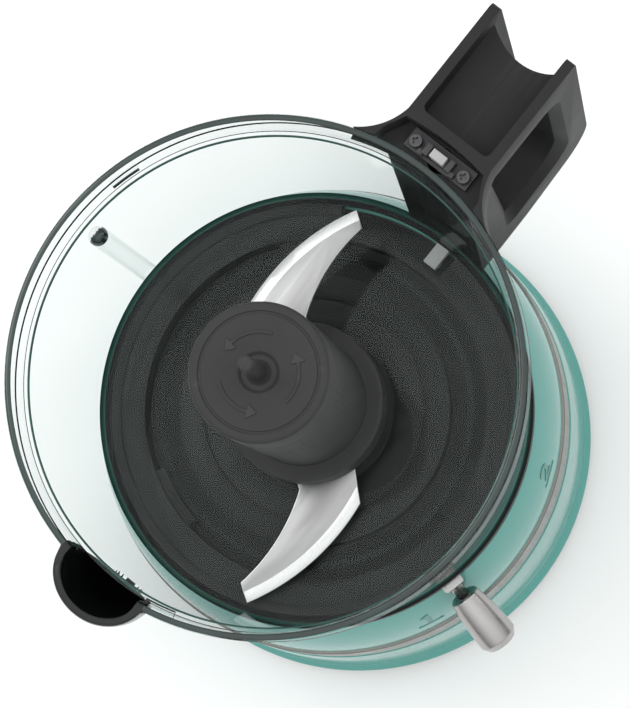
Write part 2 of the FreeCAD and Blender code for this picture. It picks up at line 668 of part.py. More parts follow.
def round_route(points, radius, bend):
    """A tube along straight runs joined by tangent arcs."""
    spots = [FreeCAD.Vector(*p) for p in points]
    edges, last = [], spots[0]
    for before, corner, after in zip(spots, spots[1:], spots[2:]):
        arrive, leave = (corner - before).normalize(), (after - corner).normalize()
        turn = arrive.getAngle(leave)
        reach = bend * math.tan(turn / 2.0)
        start, end = corner - arrive * reach, corner + leave * reach
        middle = corner + (leave - arrive).normalize() * (bend / math.cos(turn / 2.0) - bend)
        edges += [Part.LineSegment(last, start).toShape(), Part.Arc(start, middle, end).toShape()]
        last = end
    edges.append(Part.LineSegment(last, spots[-1]).toShape())
    path = Part.Wire(edges)
    section = Part.Wire([Part.Circle(spots[0], spots[1] - spots[0], radius).toShape()])
    return path.makePipeShell([section], True, True)


def electrics():
    board = box((9.0, -30.0, 20.0), (51.0, 30.0, 21.6))
    cut(board, *bolt_holes(BOARD_SPOTS, PILOT, 19.0, 23.0), label="circuit_board")
    group([screw((x, y, 21.6), 9.0, head_height=1.6) for x, y in BOARD_SPOTS], "board_screws")
    choke = doc.addObject("Part::Torus", "choke")
    choke.Radius1, choke.Radius2 = 6.0, 2.6
    place(choke, (22.0, 16.0, 24.2))
    blocks = [box((30.0, 8.0, 21.6), (46.0, 20.0, 33.0)), box((31.0, -18.0, 21.6), (44.0, -6.0, 29.0))]
    group([choke, cylinder(5.0, 18.0, (20.0, -14.0, 21.6)), cylinder(4.0, 14.0, (22.0, 0, 21.6)), *blocks],
          "board_components")
    cut(turned_box((45.5, 53.5), 11.0, (61.0, 76.0), SWITCH_AZIMUTH),
        turned_box((49.5, 55.0), 9.0, (74.0, 77.0), SWITCH_AZIMUTH), label="speed_switch")
    fuse(box((49.6, -10.0, 61.0), (55.6, 10.0, 77.0)), cylinder(1.2, 2.6, (d.pin_place, 0, 77.0)),
         label="interlock_switch")
    board_face = 21.65
    mains = [(0.0, 61.5, 28.0), (0.0, 52.0, 28.0), (4.0, 44.0, 34.0), (26.0, 26.0, 34.0),
             (26.0, 26.0, board_face)]
    to_switch = [(26.0, -24.0, board_face), (26.0, -24.0, 34.0), (*WIRE_HOLE, 46.0), (*WIRE_HOLE, 68.0),
                 (11.9, WIRE_HOLE[1], 68.0)]
    wire_radius = 1.1
    wires = [feature(round_route(mains, wire_radius, 4.0)),
             feature(round_route(to_switch, wire_radius, 2.2))]
    group(wires, "wiring")


# ---------------------------------------------------------------- speed lever

def speed_lever():
    """The slider under the deck, the tongue over the body's edge, its neck and the knob."""
    turn = SIZES["lever_azimuth"]
    bottom, top = d.lever_bottom, d.lever_bottom + d.lever_thick
    slider = sector(50.6, SIZES["slider_outer"], bottom, top, turn - 9.0, turn + 9.0)
    finger = sector(51.4, 53.4, 78.6, 97.5, turn - 2.6, turn + 2.6)
    fuse(slider, finger, label="lever_slider")
    tongue = padded([
        (d.slider_outer, -3.7),
        (d.lever_reach - 1.0, -3.1),
        (d.lever_reach, -2.1, -1.0),
        (d.lever_reach, 2.1),
        (d.lever_reach - 1.0, 3.1, -1.0),
        (d.slider_outer, 3.7),
    ], d.lever_thick)
    place(tongue, (0, 0, bottom), turn)
    along = (-math.sin(math.radians(turn)), math.cos(math.radians(turn)), 0)
    neck = cylinder(d.neck_radius, 9.0, polar(60.6, turn, 98.6), angle=155.0, axis=along)
    knob = revolved([(0, 0), (3.3, 0), (4.3, 1.0, -1.0), (5.6, 15.6, -90.0), (4.4, 17.6), (0, 17.6)])
    place(knob, polar(64.6, turn, 91.6), d.knob_lean, along)
    fuse(tongue, neck, label="lever_arm")
    cut(knob, neck, label="lever_knob")


# ---------------------------------------------------------------- interlock pin in the base

def interlock():
    """The spring-loaded pin that the plunger presses, and the bracket that guides it."""
    x = SIZES["pin_place"]
    collar, shelf = SIZES["pin_collar"], SIZES["pin_shelf"]
    stem_foot = shelf + 0.4
    stem = cylinder(1.1, collar - stem_foot, (x, 0, stem_foot))
    disc = cylinder(2.0, 1.2, (x, 0, collar))
    tip = cylinder(d.pin_radius, d.pin_top - collar, (x, 0, collar))
    fuse(stem, disc, tip, label="interlock_pin")
    inner_face, outer_face = 5.6, 7.0
    arms = [box((50.2, near, shelf), (54.0, far, 93.8))
            for near, far in ((-outer_face, -inner_face), (inner_face, outer_face))]
    bridge = box((49.8, -outer_face, shelf - 1.0), (55.4, outer_face, shelf))
    cut(fuse(bridge, *arms), cylinder(1.4, 4.0, (x, 0, shelf - 2.0)), label="pin_guide")
    spring(1.65, 0.22, shelf, collar, 6.0, (x, 0), "pin_spring")


# ---------------------------------------------------------------- work bowl

TAB_SPOTS = (74.0, 194.0, 314.0)


def bowl_envelope(gap):
    """The bowl's outer shape as a solid, grown by a gap, used to shape what sits against it."""
    return revolved([
        (0, d.floor_height - d.floor_thick - 0.1),
        (d.foot_outer - d.bowl_corner + gap, d.floor_height - d.floor_thick - 0.1),
        (d.foot_outer + gap, d.floor_height - 0.5),
        (d.ledge_inner + d.bowl_wall + gap, d.ledge_height - 2.0),
        (d.rim_radius + gap, d.ledge_height),
        (d.rim_radius + gap, d.rim_height + 5.0),
        (0, d.rim_height + 5.0),
    ])


def work_bowl():
    low = d.floor_height - d.floor_thick
    shell = revolved([
        (d.chimney_inner, low),
        (d.foot_outer - d.bowl_corner, low),
        (d.foot_outer, d.floor_height - 0.5, -SIZES["bowl_corner"]),
        (d.ledge_inner + d.bowl_wall, d.ledge_height - 2.0),
        (d.rim_radius, d.ledge_height),
        (d.rim_radius, d.rim_height - 0.8),
        (d.rim_radius - 0.8, d.rim_height, -0.8),
        (d.rim_radius - 1.4, d.rim_height),
        (d.rim_radius - 2.0, d.rim_height - 0.6, -0.6),
        (d.rim_radius - d.lip_wall, d.ledge_height),
        (d.ledge_inner + 0.4, d.ledge_height),
        (d.ledge_inner, d.ledge_height - 0.5, -0.5),
        (d.floor_inner, d.floor_height + d.floor_round),
        (d.floor_inner - d.floor_round, d.floor_height, 2.4),
        (d.chimney_outer + 2.0, d.floor_height),
        (d.chimney_outer, d.floor_height + 2.0, 2.0),
        (d.chimney_outer - 0.6, d.chimney_top),
        (d.chimney_inner, d.chimney_top),
    ])
    cavity = revolved([
        (d.chimney_outer + 3.0, d.floor_height),
        (d.floor_inner - d.floor_round, d.floor_height),
        (d.floor_inner, d.floor_height + d.floor_round, -2.4),
        (d.ledge_inner, d.ledge_height - 0.5),
        (d.ledge_inner, d.ledge_height),
        (d.rim_radius - d.lip_wall, d.ledge_height),
        (d.rim_radius - 2.0, d.rim_height + 1.0),
        (d.chimney_outer + 3.0, d.rim_height + 1.0),
    ])
    outer = spout_form(0.0)
    inner = cut(spout_form(SIZES["spout_wall"]),
                cylinder(d.rim_radius - d.lip_wall, 40.0, (0, 0, d.ledge_height - 40.0)))
    foot = revolved([
        (d.foot_ring_outer - d.foot_ring_wall, d.foot_ring_bottom),
        (d.foot_ring_outer, d.foot_ring_bottom),
        (d.foot_ring_outer, low + 0.2),
        (d.foot_ring_outer - d.foot_ring_wall, low + 0.2),
    ])
    ring_bottom = d.foot_ring_bottom
    lugs = [sector(d.foot_ring_outer - 1.0, d.lug_reach, ring_bottom, ring_bottom + d.lug_height,
                   a - 9.0, a + 9.0) for a in TAB_AZIMUTHS]
    turn = math.radians(SIZES["rib_azimuth"])
    rise = SIZES["rib_top"] - SIZES["floor_height"] + 0.5
    run = SIZES["rib_high"] - SIZES["rib_low"]
    rib_foot = polar(d.rib_low, d.rib_azimuth, d.floor_height - 0.5)
    across = (-math.sin(turn), math.cos(turn), 0)
    rib = fuse(cylinder(d.rib_radius, math.hypot(rise, run), rib_foot,
                        angle=math.degrees(math.atan2(run, rise)), axis=across),
               dome(d.rib_radius, polar(d.rib_high, d.rib_azimuth, d.rib_top)))
    inside_wall = revolved([
        (0, d.floor_height - 1.0),
        (d.foot_outer - 1.0, d.floor_height - 1.0),
        (d.ledge_inner + 0.8, d.ledge_height - 2.0),
        (0, d.ledge_height - 2.0),
    ])
    tabs = [sector(d.rim_radius - 3.4, d.rim_radius - 1.5, d.tab_bottom, d.tab_bottom + d.tab_height,
                   a - 3.7, a + 3.7) for a in TAB_SPOTS]
    body = cut(fuse(shell, cut(outer, cavity)), inner)
    fuse(body, foot, *lugs, common(rib, inside_wall), *tabs, label="bowl")


def dome(radius, spot):
    ball = doc.addObject("Part::Sphere", "dome")
    bind(ball, "Radius", radius)
    return place(ball, spot)


def spout_form(inset):
    """The lower half of an ellipsoid centred on the rim at azimuth 180."""
    form = doc.addObject("Part::Ellipsoid", "beak")
    bind(form, "Radius1", d.spout_depth - inset)
    bind(form, "Radius2", d.spout_reach - inset)
    bind(form, "Radius3", d.spout_half_width - inset)
    form.Angle1, form.Angle2 = (-90, 0) if inset == 0 else (-90, 90)
    return place(form, (-d.spout_centre, 0, d.rim_height))


# ---------------------------------------------------------------- handle

def handle_parts():
    reach, low, foot = d.handle_reach, d.handle_bottom, d.handle_foot
    half = d.handle_half_width
    side = padded([
        (foot, d.rim_height),
        (reach - 1.2, d.rim_height),
        (reach, d.rim_height - 1.4, 1.6),
        (reach - 1.6, low + 17.0),
        (reach - 11.0, low + 4.0, 15.0),
        (foot + 20.0, low),
        (foot, low - 1.0),
    ], half * 2, "XZ_Plane", symmetric=True)
    opening = padded(finger_outline(0.0), 40.0, "XZ_Plane", symmetric=True)
    flares = [flared(finger_outline(0.0), finger_outline(d.finger_flare + 0.5),
                     sign * (half - d.finger_flare), sign * (half + 0.5)) for sign in (-1, 1)]
    rail_face = d.handle_half_width - d.rail_width
    far_end = 120.0
    strip = padded([
        (d.bridge_outer, -rail_face + 1.5),
        (d.bridge_outer + 1.5, -rail_face, -1.6),
        (far_end, -rail_face),
        (far_end, rail_face),
        (d.bridge_outer + 1.5, rail_face),
        (d.bridge_outer, rail_face - 1.5, -1.6),
    ], 100.0)
    place(strip, (0, 0, low + 12.0))
    hollow = d.channel_radius
    trough_axis = d.rim_height - d.channel_depth + hollow
    trough = cylinder(hollow, 60.0, (70.0, 0, trough_axis), angle=90, axis=(0, 1, 0))
    groove = cylinder(hollow, 100.0, (d.grip_web + hollow, 0, low + 12.0))
    scoop = common(strip, fuse(trough, groove))
    root = padded([
        (foot, -23.0), (foot + 3.0, -22.6), (foot + 16.0, -half, 18.0), (foot + 16.0, half),
        (foot + 3.0, 22.6, 18.0), (foot, 23.0),
    ], 15.0)
    place(root, (0, 0, 178.0))
    pocket_plan = padded([
        (60.0, -15.8), (66.0, -15.3), (71.9, -d.pocket_half), (90.0, -d.pocket_half),
        (90.0, d.pocket_half), (71.9, d.pocket_half), (66.0, 15.3), (60.0, 15.8),
    ], 30.0)
    place(pocket_plan, (0, 0, d.pocket_floor))
    pocket = common(cylinder(d.bridge_inner, 30.0, (0, 0, d.pocket_floor)), pocket_plan)
    px = d.plunger_place
    chamber = cylinder(d.chamber_radius, 60.0, (px, 0, d.chamber_floor))
    stem_hole = cylinder(d.plunger_radius + 0.25, 60.0, (px, 0, 100.0))
    foot_relief = box((55.0, -3.2, 100.0), (72.5, 3.2, 104.0))
    holes = bolt_holes(HANDLE_SPOTS, PILOT, 172.0, 187.0)
    cut(fuse(side, root), opening, *flares, scoop, pocket, chamber, stem_hole, foot_relief,
        bowl_envelope(0.05), *holes, label="handle")
    seat = d.pocket_floor + 1.2
    group([screw((x, y, seat), 12.0, head_radius=1.6, head_height=1.6, shank_radius=1.2)
           for x, y in HANDLE_SPOTS], "handle_screws")

    guide = box((66.6, -9.8, d.pocket_floor), (72.0, 9.8, seat))
    ears = []
    for sign in (-1, 1):
        near, far = sorted((sign * 2.7, sign * 4.3))
        ears.append(box((67.4, near, d.pocket_floor), (70.6, far, d.pocket_floor + 4.5)))
        near, far = sorted((sign * 4.0, sign * 5.6))
        ears.append(box((66.8, near, d.pocket_floor), (68.2, far, d.pocket_floor + 3.5)))
    slot = box((px - 1.4, -2.35, d.pocket_floor - 3.0), (px + 1.4, 2.35, d.pocket_floor + 9.0))
    cut(fuse(guide, *ears), slot, *bolt_holes(HANDLE_SPOTS, PILOT, 184.0, 188.0), label="plunger_guide")

    head = box((px - d.plunger_thick / 2, -d.plunger_width / 2, d.collar_height),
               (px + d.plunger_thick / 2, d.plunger_width / 2, d.plunger_top))
    collar = cylinder(3.1, 1.6, (px, 0, d.collar_height))
    stem = cylinder(d.plunger_radius, 165.0 - d.foot_bottom, (px, 0, d.foot_bottom))
    toe = box((50.6, -2.0, d.foot_bottom), (px + 1.4, 2.0, d.foot_bottom + 2.5))
    fuse(head, collar, stem, toe, label="plunger")
    ends = (SIZES["chamber_floor"], SIZES["collar_height"])
    spring(2.5, 0.35, *ends, 9.0, (SIZES["plunger_place"], 0), "plunger_spring")


def finger_outline(grown):
    """The finger opening's outline, grown outwards by a distance."""
    inner, outer = d.finger_inner - grown, d.finger_outer + grown
    bottom, top = d.finger_bottom - grown, d.finger_top + grown
    return [
        (inner, bottom + 3.0),
        (inner + 4.0, bottom + 0.5, -4.6),
        (outer - 8.0, bottom + 3.0),
        (outer - 1.0, bottom + 12.0, -9.5),
        (outer, top - 7.0),
        (outer - 7.0, top, -7.2),
        (inner + 4.0, top),
        (inner, top - 4.0, -4.2),
    ]


HANDLE_SPOTS = [(69.0, 7.55), (69.0, -7.55)]


# ---------------------------------------------------------------- blade assembly

def blade(scale, height, angle, label):
    """A curved blade: convex cutting edge, concave back, slanted blunt tip and a ground bevel."""
    def corner(u, v):
        return (u * scale, v * scale)

    body = padded([
        corner(13.0, 4.0),
        corner(18.1, 11.6),
        (*corner(45.6, 15.0), 50.0 * scale),
        corner(48.5, 19.4),
        (*corner(10.9, 25.7), -60.0 * scale),
        corner(-1.0, 12.5),
    ], d.blade_thick)
    doc.recompute()
    edges = [f"Edge{i}" for i, edge in enumerate(body.Tip.Shape.Edges, start=1)
             if isinstance(edge.Curve, Part.Circle) and edge.Curve.Radius > 55.0 * scale
             and edge.CenterOfMass.z > 1.0]
    pad = body.Tip
    bevel = body.newObject("PartDesign::Chamfer", "bevel")
    bevel.Base = (pad, edges)
    bevel.ChamferType = "Two distances"
    bevel.Size, bevel.Size2, bevel.FlipDirection = 1.0, 3.0, False
    body.Tip = bevel
    doc.recompute()
    place(body, (0, 0, height), angle)
    return cut(body, cylinder(d.hub_bore + 1.0, 10.0, (0, 0, height - 4.0)), label=label)


def blade_assembly():
    hub = revolved([
        (d.hub_bore, d.hub_bottom),
        (d.collar_radius - 1.0, d.hub_bottom),
        (d.collar_radius, d.hub_bottom + 1.0, -1.0),
        (d.collar_radius, d.collar_top - 1.0),
        (d.collar_radius - 1.0, d.collar_top, -1.0),
        (d.hub_side_radius + 0.8, d.collar_top),
        (d.hub_side_radius, d.collar_top + 0.8, 0.8),
        (d.hub_top_radius, d.hub_top - 12.0),
        (9.2, d.hub_top - 12.0),
        (9.2, 157.0),
        (d.hub_bore, 154.0),
    ])
    upper = blade(1.0, d.upper_blade_height, -0.8, "upper_blade")
    cut(hub, upper, label="blade_hub")
    cap = revolved([
        (0, d.hub_top - 12.0),
        (d.hub_top_radius, d.hub_top - 12.0),
        (d.hub_top_radius, d.hub_top - 2.0),
        (d.hub_top_radius - 2.0, d.hub_top, -2.0),
        (d.top_pin_radius + 1.0, d.hub_top),
        (d.top_pin_radius, d.hub_top + 1.0, 1.0),
        (1.9, d.hub_top + d.top_pin_length - 1.1),
        (0.8, d.hub_top + d.top_pin_length, -1.2),
        (0, d.hub_top + d.top_pin_length),
    ])
    keep(cap, "hub_cap")
    insert = cylinder(9.2, 29.8, (0, 0, 157.1))
    hexagon = doc.addObject("Part::Prism", "hexagon")
    hexagon.Polygon = 6
    bind(hexagon, "Circumradius", d.drive_radius + 0.35)
    bind(hexagon, "Height", 25.5)
    place(hexagon, (0, 0, 156.0))
    cut(insert, hexagon, label="drive_insert")
    lower = blade(56.1 / 52.2, d.lower_blade_height, 179.2, "lower_blade")
    cut(tube(d.hub_bore, 19.0, d.lower_blade_height - 2.2, d.hub_bottom), lower, label="blade_clamp")


sub_assemblies = (base_shells, bottom_parts, deck_parts, gearbox, motor, electrics, speed_lever, interlock,
                  work_bowl, handle_parts, blade_assembly)
for build in sub_assemblies:
    build()
doc.recompute()

failed = [o.Name for o in doc.Objects if "Invalid" in o.State or "Error" in o.State]
for node in nodes:
    if node.Shape.isNull() or not node.Shape.isValid() or not node.Shape.Solids:
        failed.append(node.Label)
if failed:
    raise RuntimeError(f"these objects failed: {failed}")
os.makedirs("parts", exist_ok=True)
for node in nodes:
    node.Shape.exportStep(f"parts/{node.Label}.step")
    print(node.Label, len(node.Shape.Solids), round(node.Shape.Volume, 1))
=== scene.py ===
import json
import math

import bmesh
import bpy
from mathutils import Matrix, Vector


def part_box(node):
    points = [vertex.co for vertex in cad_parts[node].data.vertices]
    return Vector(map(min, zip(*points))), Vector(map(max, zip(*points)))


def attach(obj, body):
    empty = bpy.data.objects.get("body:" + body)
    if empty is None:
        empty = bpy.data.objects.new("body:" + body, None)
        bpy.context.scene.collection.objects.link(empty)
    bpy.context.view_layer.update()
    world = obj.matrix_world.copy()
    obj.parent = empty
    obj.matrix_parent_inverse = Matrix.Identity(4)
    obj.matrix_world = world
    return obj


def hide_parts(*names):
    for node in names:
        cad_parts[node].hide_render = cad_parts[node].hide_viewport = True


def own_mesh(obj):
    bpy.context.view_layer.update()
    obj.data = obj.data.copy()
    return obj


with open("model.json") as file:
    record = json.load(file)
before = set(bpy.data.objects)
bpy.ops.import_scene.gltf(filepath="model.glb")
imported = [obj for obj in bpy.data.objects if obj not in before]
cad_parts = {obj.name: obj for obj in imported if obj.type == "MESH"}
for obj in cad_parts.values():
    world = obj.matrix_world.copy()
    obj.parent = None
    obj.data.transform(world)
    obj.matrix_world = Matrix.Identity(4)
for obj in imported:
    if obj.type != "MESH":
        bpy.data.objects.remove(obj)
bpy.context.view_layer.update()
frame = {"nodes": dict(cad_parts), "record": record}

MM = 0.001
RIM_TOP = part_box("bowl")[1].z / MM
RIM_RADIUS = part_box("bowl")[1].y / MM
FLANGE_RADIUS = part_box("base_skirt")[1].y / MM
TRIM_LOW, TRIM_HIGH = (corner.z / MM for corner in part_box("trim_band"))
BODY_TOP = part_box("base_housing")[1].z / MM
TRIM_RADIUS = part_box("trim_band")[1].y / MM
BODY_TOP_RADIUS = 59.4
LEDGE = RIM_TOP - 12.0
BOWL_FLOOR = 105.3
FLOOR_UNDER = 103.1
HUB_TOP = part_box("hub_cap")[0].z / MM + 12.0


# ---------------------------------------------------------------- mesh tools

def soften(corners, closed=True, steps=6):
    """An outline of (r, z) or (r, z, radius) corners with each corner rounded by its radius."""
    outline, count = [], len(corners)
    for i, corner in enumerate(corners):
        here = Vector(corner[:2])
        radius = corner[2] if len(corner) > 2 else 0.0
        if radius == 0 or (not closed and i in (0, count - 1)):
            outline.append(here)
            continue
        back = Vector(corners[i - 1][:2]) - here
        ahead = Vector(corners[(i + 1) % count][:2]) - here
        reach = radius / math.tan(back.angle(ahead) / 2.0)
        reach = min(reach, back.length * 0.49, ahead.length * 0.49)
        start, end = here + back.normalized() * reach, here + ahead.normalized() * reach
        for k in range(steps + 1):
            u = k / steps
            outline.append(start * (1 - u) ** 2 + here * 2 * u * (1 - u) + end * u * u)
    return outline


def to_object(bm, name, crease=35.0):
    """A smooth-shaded object from a bmesh in mm, with edges over the crease angle kept sharp."""
    bmesh.ops.remove_doubles(bm, verts=bm.verts, dist=0.004)
    bmesh.ops.dissolve_degenerate(bm, edges=bm.edges, dist=0.002)
    bmesh.ops.recalc_face_normals(bm, faces=bm.faces)
    bmesh.ops.scale(bm, vec=(MM, MM, MM), verts=bm.verts)
    mesh = bpy.data.meshes.new(name)
    bm.to_mesh(mesh)
    bm.free()
    mesh.shade_smooth()
    mesh.set_sharp_from_angle(angle=math.radians(crease))
    piece = bpy.data.objects.new(name, mesh)
    bpy.context.scene.collection.objects.link(piece)
    return piece


def lathe_mesh(outline, segments=192):
    """A bmesh turned about Z from a closed outline of (r, z) points in mm."""
    bm = bmesh.new()
    rings = []
    for k in range(segments):
        turn = 2 * math.pi * k / segments
        rings.append([bm.verts.new((r * math.cos(turn), r * math.sin(turn), z)) for r, z in outline])
    join_rings(bm, zip(rings, rings[1:] + rings[:1]))
    return bm


def join_rings(bm, pairs):
    """Faces between each pair of closed rings of vertices."""
    for here, following in pairs:
        for j in range(len(here)):
            n = (j + 1) % len(here)
            bm.faces.new((here[j], following[j], following[n], here[n]))


def join_caps(bm, low, high):
    """Closes a raised flat shape: its underside, its top and the walls between them."""
    bm.faces.new(low[::-1])
    bm.faces.new(high)
    for i in range(len(low)):
        n = (i + 1) % len(low)
        bm.faces.new((low[i], low[n], high[n], high[i]))


def node_mesh(node):
    """A bmesh of a CAD node's mesh, in mm."""
    bm = bmesh.new()
    bm.from_mesh(frame["nodes"][node].data)
    bmesh.ops.scale(bm, vec=(1 / MM, 1 / MM, 1 / MM), verts=bm.verts)
    return bm


def settle(piece):
    """Applies a piece's modifiers to its mesh."""
    graph = bpy.context.evaluated_depsgraph_get()
    mesh = bpy.data.meshes.new_from_object(piece.evaluated_get(graph))
    piece.modifiers.clear()
    piece.data = mesh
    return piece


def softened(node, width, segments=3, angle=28.0, crease=40.0):
    """A copy of a CAD node's shape with its edges rounded off by a width in mm."""
    bm = node_mesh(node)
    bmesh.ops.remove_doubles(bm, verts=bm.verts, dist=0.003)
    bmesh.ops.dissolve_limit(bm, angle_limit=math.radians(0.6), verts=bm.verts, edges=bm.edges)
    piece = to_object(bm, node + "_soft", crease)
    bevel = piece.modifiers.new("edge_rounding", "BEVEL")
    bevel.width = width * MM
    bevel.segments = segments
    bevel.limit_method = "ANGLE"
    bevel.angle_limit = math.radians(angle)
    bevel.use_clamp_overlap = True
    bevel.miter_outer = "MITER_ARC"
    settle(piece)
    piece.data.shade_smooth()
    piece.data.set_sharp_from_angle(angle=math.radians(crease))
    return piece


def stand_for(piece, body, node, slot):
    """Makes a piece replace one CAD node: it rides on its body and takes its finish."""
    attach(piece, body)
    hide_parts(node)
    dress(piece, slot)


def dress(piece, look):
    """Gives a piece one of the looks as its only material."""
    piece.data.materials.clear()
    piece.data.materials.append(LOOKS[look])


# ---------------------------------------------------------------- materials

class Surface:
    """A node material on one Principled shader, with helpers for procedural detail."""

    def __init__(self, name):
        self.material = bpy.data.materials.new(name)
        self.material.use_nodes = True
        self.tree = self.material.node_tree
        self.shader = self.tree.nodes["Principled BSDF"]
        self.coords = self.node("ShaderNodeTexCoord").outputs["Object"]

    def node(self, kind, **settings):
        made = self.tree.nodes.new(kind)
        for key, value in settings.items():
            setattr(made, key, value)
        return made

    def link(self, source, target):
        self.tree.links.new(source, target)

    def stretched(self, stretch):
        """Coordinates scaled by three factors, to draw a pattern out along one axis."""
        mapping = self.node("ShaderNodeMapping")
        mapping.inputs["Scale"].default_value = stretch
        self.link(self.coords, mapping.inputs["Vector"])
        return mapping.outputs["Vector"]

    def noise(self, scale, detail=4.0, vector=None):
        made = self.node("ShaderNodeTexNoise")
        made.inputs["Scale"].default_value = scale
        made.inputs["Detail"].default_value = detail
        made.inputs["Roughness"].default_value = 0.55
        self.link(vector or self.coords, made.inputs["Vector"])
        return made.outputs["Fac"]

    def ranged(self, source, low, high, start=0.3, end=0.7):
        """Maps a value from start..end to low..high."""
        made = self.node("ShaderNodeMapRange")
        made.inputs["From Min"].default_value = start
        made.inputs["From Max"].default_value = end
        made.inputs["To Min"].default_value = low
        made.inputs["To Max"].default_value = high
        self.link(source, made.inputs["Value"])
        return made.outputs["Result"]

    def mixed(self, factor, first, second):
        """A colour between two, each given as (r, g, b) or as a socket."""
        made = self.node("ShaderNodeMix", data_type="RGBA")
        self.link(factor, made.inputs["Factor"])
        for socket, value in (("A", first), ("B", second)):
            target = next(s for s in made.inputs if s.name == socket and s.type == "RGBA")
            if isinstance(value, tuple):
                target.default_value = (*value, 1.0)
            else:
                self.link(value, target)
        return next(s for s in made.outputs if s.type == "RGBA")

    def bumped(self, *layers):
        """Bump from (height, strength, distance in mm) layers, finest last."""
        normal = None
        for height, strength, distance in layers:
            made = self.node("ShaderNodeBump")
            made.inputs["Strength"].default_value = strength
            made.inputs["Distance"].default_value = distance * MM
            self.link(height, made.inputs["Height"])
            if normal:
                self.link(normal, made.inputs["Normal"])
            normal = made.outputs["Normal"]
        self.link(normal, self.shader.inputs["Normal"])

    def edges(self, first, second, gain):
        """Paints a highlight on edges: mixes to the second colour where the surface is convex."""
        geometry = self.node("ShaderNodeNewGeometry")
        edge_sheen = self.ranged(geometry.outputs["Pointiness"], 0.0, gain, 0.53, 0.62)
        return self.mixed(edge_sheen, first, second)


def moulded(name, colour, shade, roughness, grain_mm=0.3, grain=0.04, edge_sheen=None, sheen_gain=0.2, coat=0.0,
            specular=0.35):
    """Moulded plastic: slight mottling, a fine eroded grain, and convex edges made paler by a painted
    highlight.
    """
    s = Surface(name)
    mottled = s.mixed(s.ranged(s.noise(60.0), 0.0, 1.0), colour, shade)
    # Default colour for the painted edge highlight: a paler copy of the base colour.
    paler_sheen = tuple(min(1.0, c * 1.5 + 0.02) for c in colour)
    s.link(s.edges(mottled, edge_sheen or paler_sheen, sheen_gain), s.shader.inputs["Base Color"])
    s.link(s.ranged(s.noise(35.0, 6.0), roughness - 0.04, roughness + 0.05), s.shader.inputs["Roughness"])
    fine = s.noise(1.0 / (grain_mm * MM), 2.0)
    wavy = s.noise(25.0, 2.0)
    s.bumped((wavy, 0.02, 0.3), (fine, grain, 0.03))
    s.shader.inputs["Specular IOR Level"].default_value = specular
    s.shader.inputs["Coat Weight"].default_value = coat
    s.shader.inputs["Coat Roughness"].default_value = 0.03
    return s.material


def metallic(name, colour, shade, roughness, stretch=(1, 1, 1), scale=900.0, depth=0.06, anisotropy=0.0):
    """Metal with brushing or grinding marks stretched along one direction and faint handling marks."""
    s = Surface(name)
    s.shader.inputs["Metallic"].default_value = 1.0
    s.shader.inputs["Anisotropic"].default_value = anisotropy
    marks = s.noise(scale, 3.0, s.stretched(stretch))
    cloud = s.noise(40.0, 5.0)
    toned = s.mixed(s.ranged(cloud, 0.0, 1.0), colour, shade)
    darker = tuple(c * 0.95 for c in colour)
    streaked = s.mixed(s.ranged(marks, 0.0, 0.3), toned, darker)
    s.link(streaked, s.shader.inputs["Base Color"])
    s.link(s.ranged(marks, roughness - 0.05, roughness + 0.08), s.shader.inputs["Roughness"])
    s.bumped((cloud, 0.02, 0.3), (marks, depth, 0.02))
    return s.material


def clear_plastic(name):
    """Clear thin-walled plastic: see-through, glossy, and more tinted where it is seen at a slant."""
    s = Surface(name)
    s.shader.inputs["Base Color"].default_value = (0.9, 0.97, 0.95, 1.0)
    haze = s.noise(30.0, 5.0)
    s.link(s.ranged(haze, 0.02, 0.07, 0.35, 0.75), s.shader.inputs["Roughness"])
    s.shader.inputs["Metallic"].default_value = 1.0
    s.bumped((s.noise(18.0, 1.0), 0.02, 0.4))
    facing = s.node("ShaderNodeLayerWeight")
    facing.inputs["Blend"].default_value = 0.5
    passing = s.node("ShaderNodeBsdfTransparent")
    slant = s.ranged(facing.outputs["Facing"], 0.0, 1.0, 0.55, 1.0)
    tinted = s.mixed(slant, (0.96, 0.975, 0.971), (0.915, 0.932, 0.928))
    s.link(tinted, passing.inputs["Color"])
    skin = s.node("ShaderNodeMixShader")
    s.link(s.ranged(facing.outputs["Facing"], 0.007, 0.3, 0.75, 1.0), skin.inputs[0])
    s.link(passing.outputs[0], skin.inputs[1])
    s.link(s.shader.outputs[0], skin.inputs[2])
    lit = s.node("ShaderNodeBsdfTransparent")
    lit.inputs["Color"].default_value = (0.985, 0.995, 0.992, 1.0)
    mixing = s.node("ShaderNodeMixShader")
    s.link(s.node("ShaderNodeLightPath").outputs["Is Shadow Ray"], mixing.inputs[0])
    s.link(skin.outputs[0], mixing.inputs[1])
    s.link(lit.outputs[0], mixing.inputs[2])
    output = next(n for n in s.tree.nodes if n.type == "OUTPUT_MATERIAL")
    s.link(mixing.outputs[0], output.inputs["Surface"])
    return s.material


def wire_look(name, colour, shade):
    """Wound wire: fine parallel ridges with colour running along them."""
    s = Surface(name)
    wave = s.node("ShaderNodeTexWave", wave_type="BANDS", bands_direction="Z")
    wave.inputs["Scale"].default_value = 420.0
    wave.inputs["Distortion"].default_value = 1.5
    s.link(s.coords, wave.inputs["Vector"])
    s.link(s.mixed(wave.outputs["Fac"], colour, shade), s.shader.inputs["Base Color"])
    s.shader.inputs["Metallic"].default_value = 0.8
    s.link(s.ranged(wave.outputs["Fac"], 0.3, 0.5, 0.0, 1.0), s.shader.inputs["Roughness"])
    s.bumped((wave.outputs["Fac"], 0.5, 0.2))
    return s.material


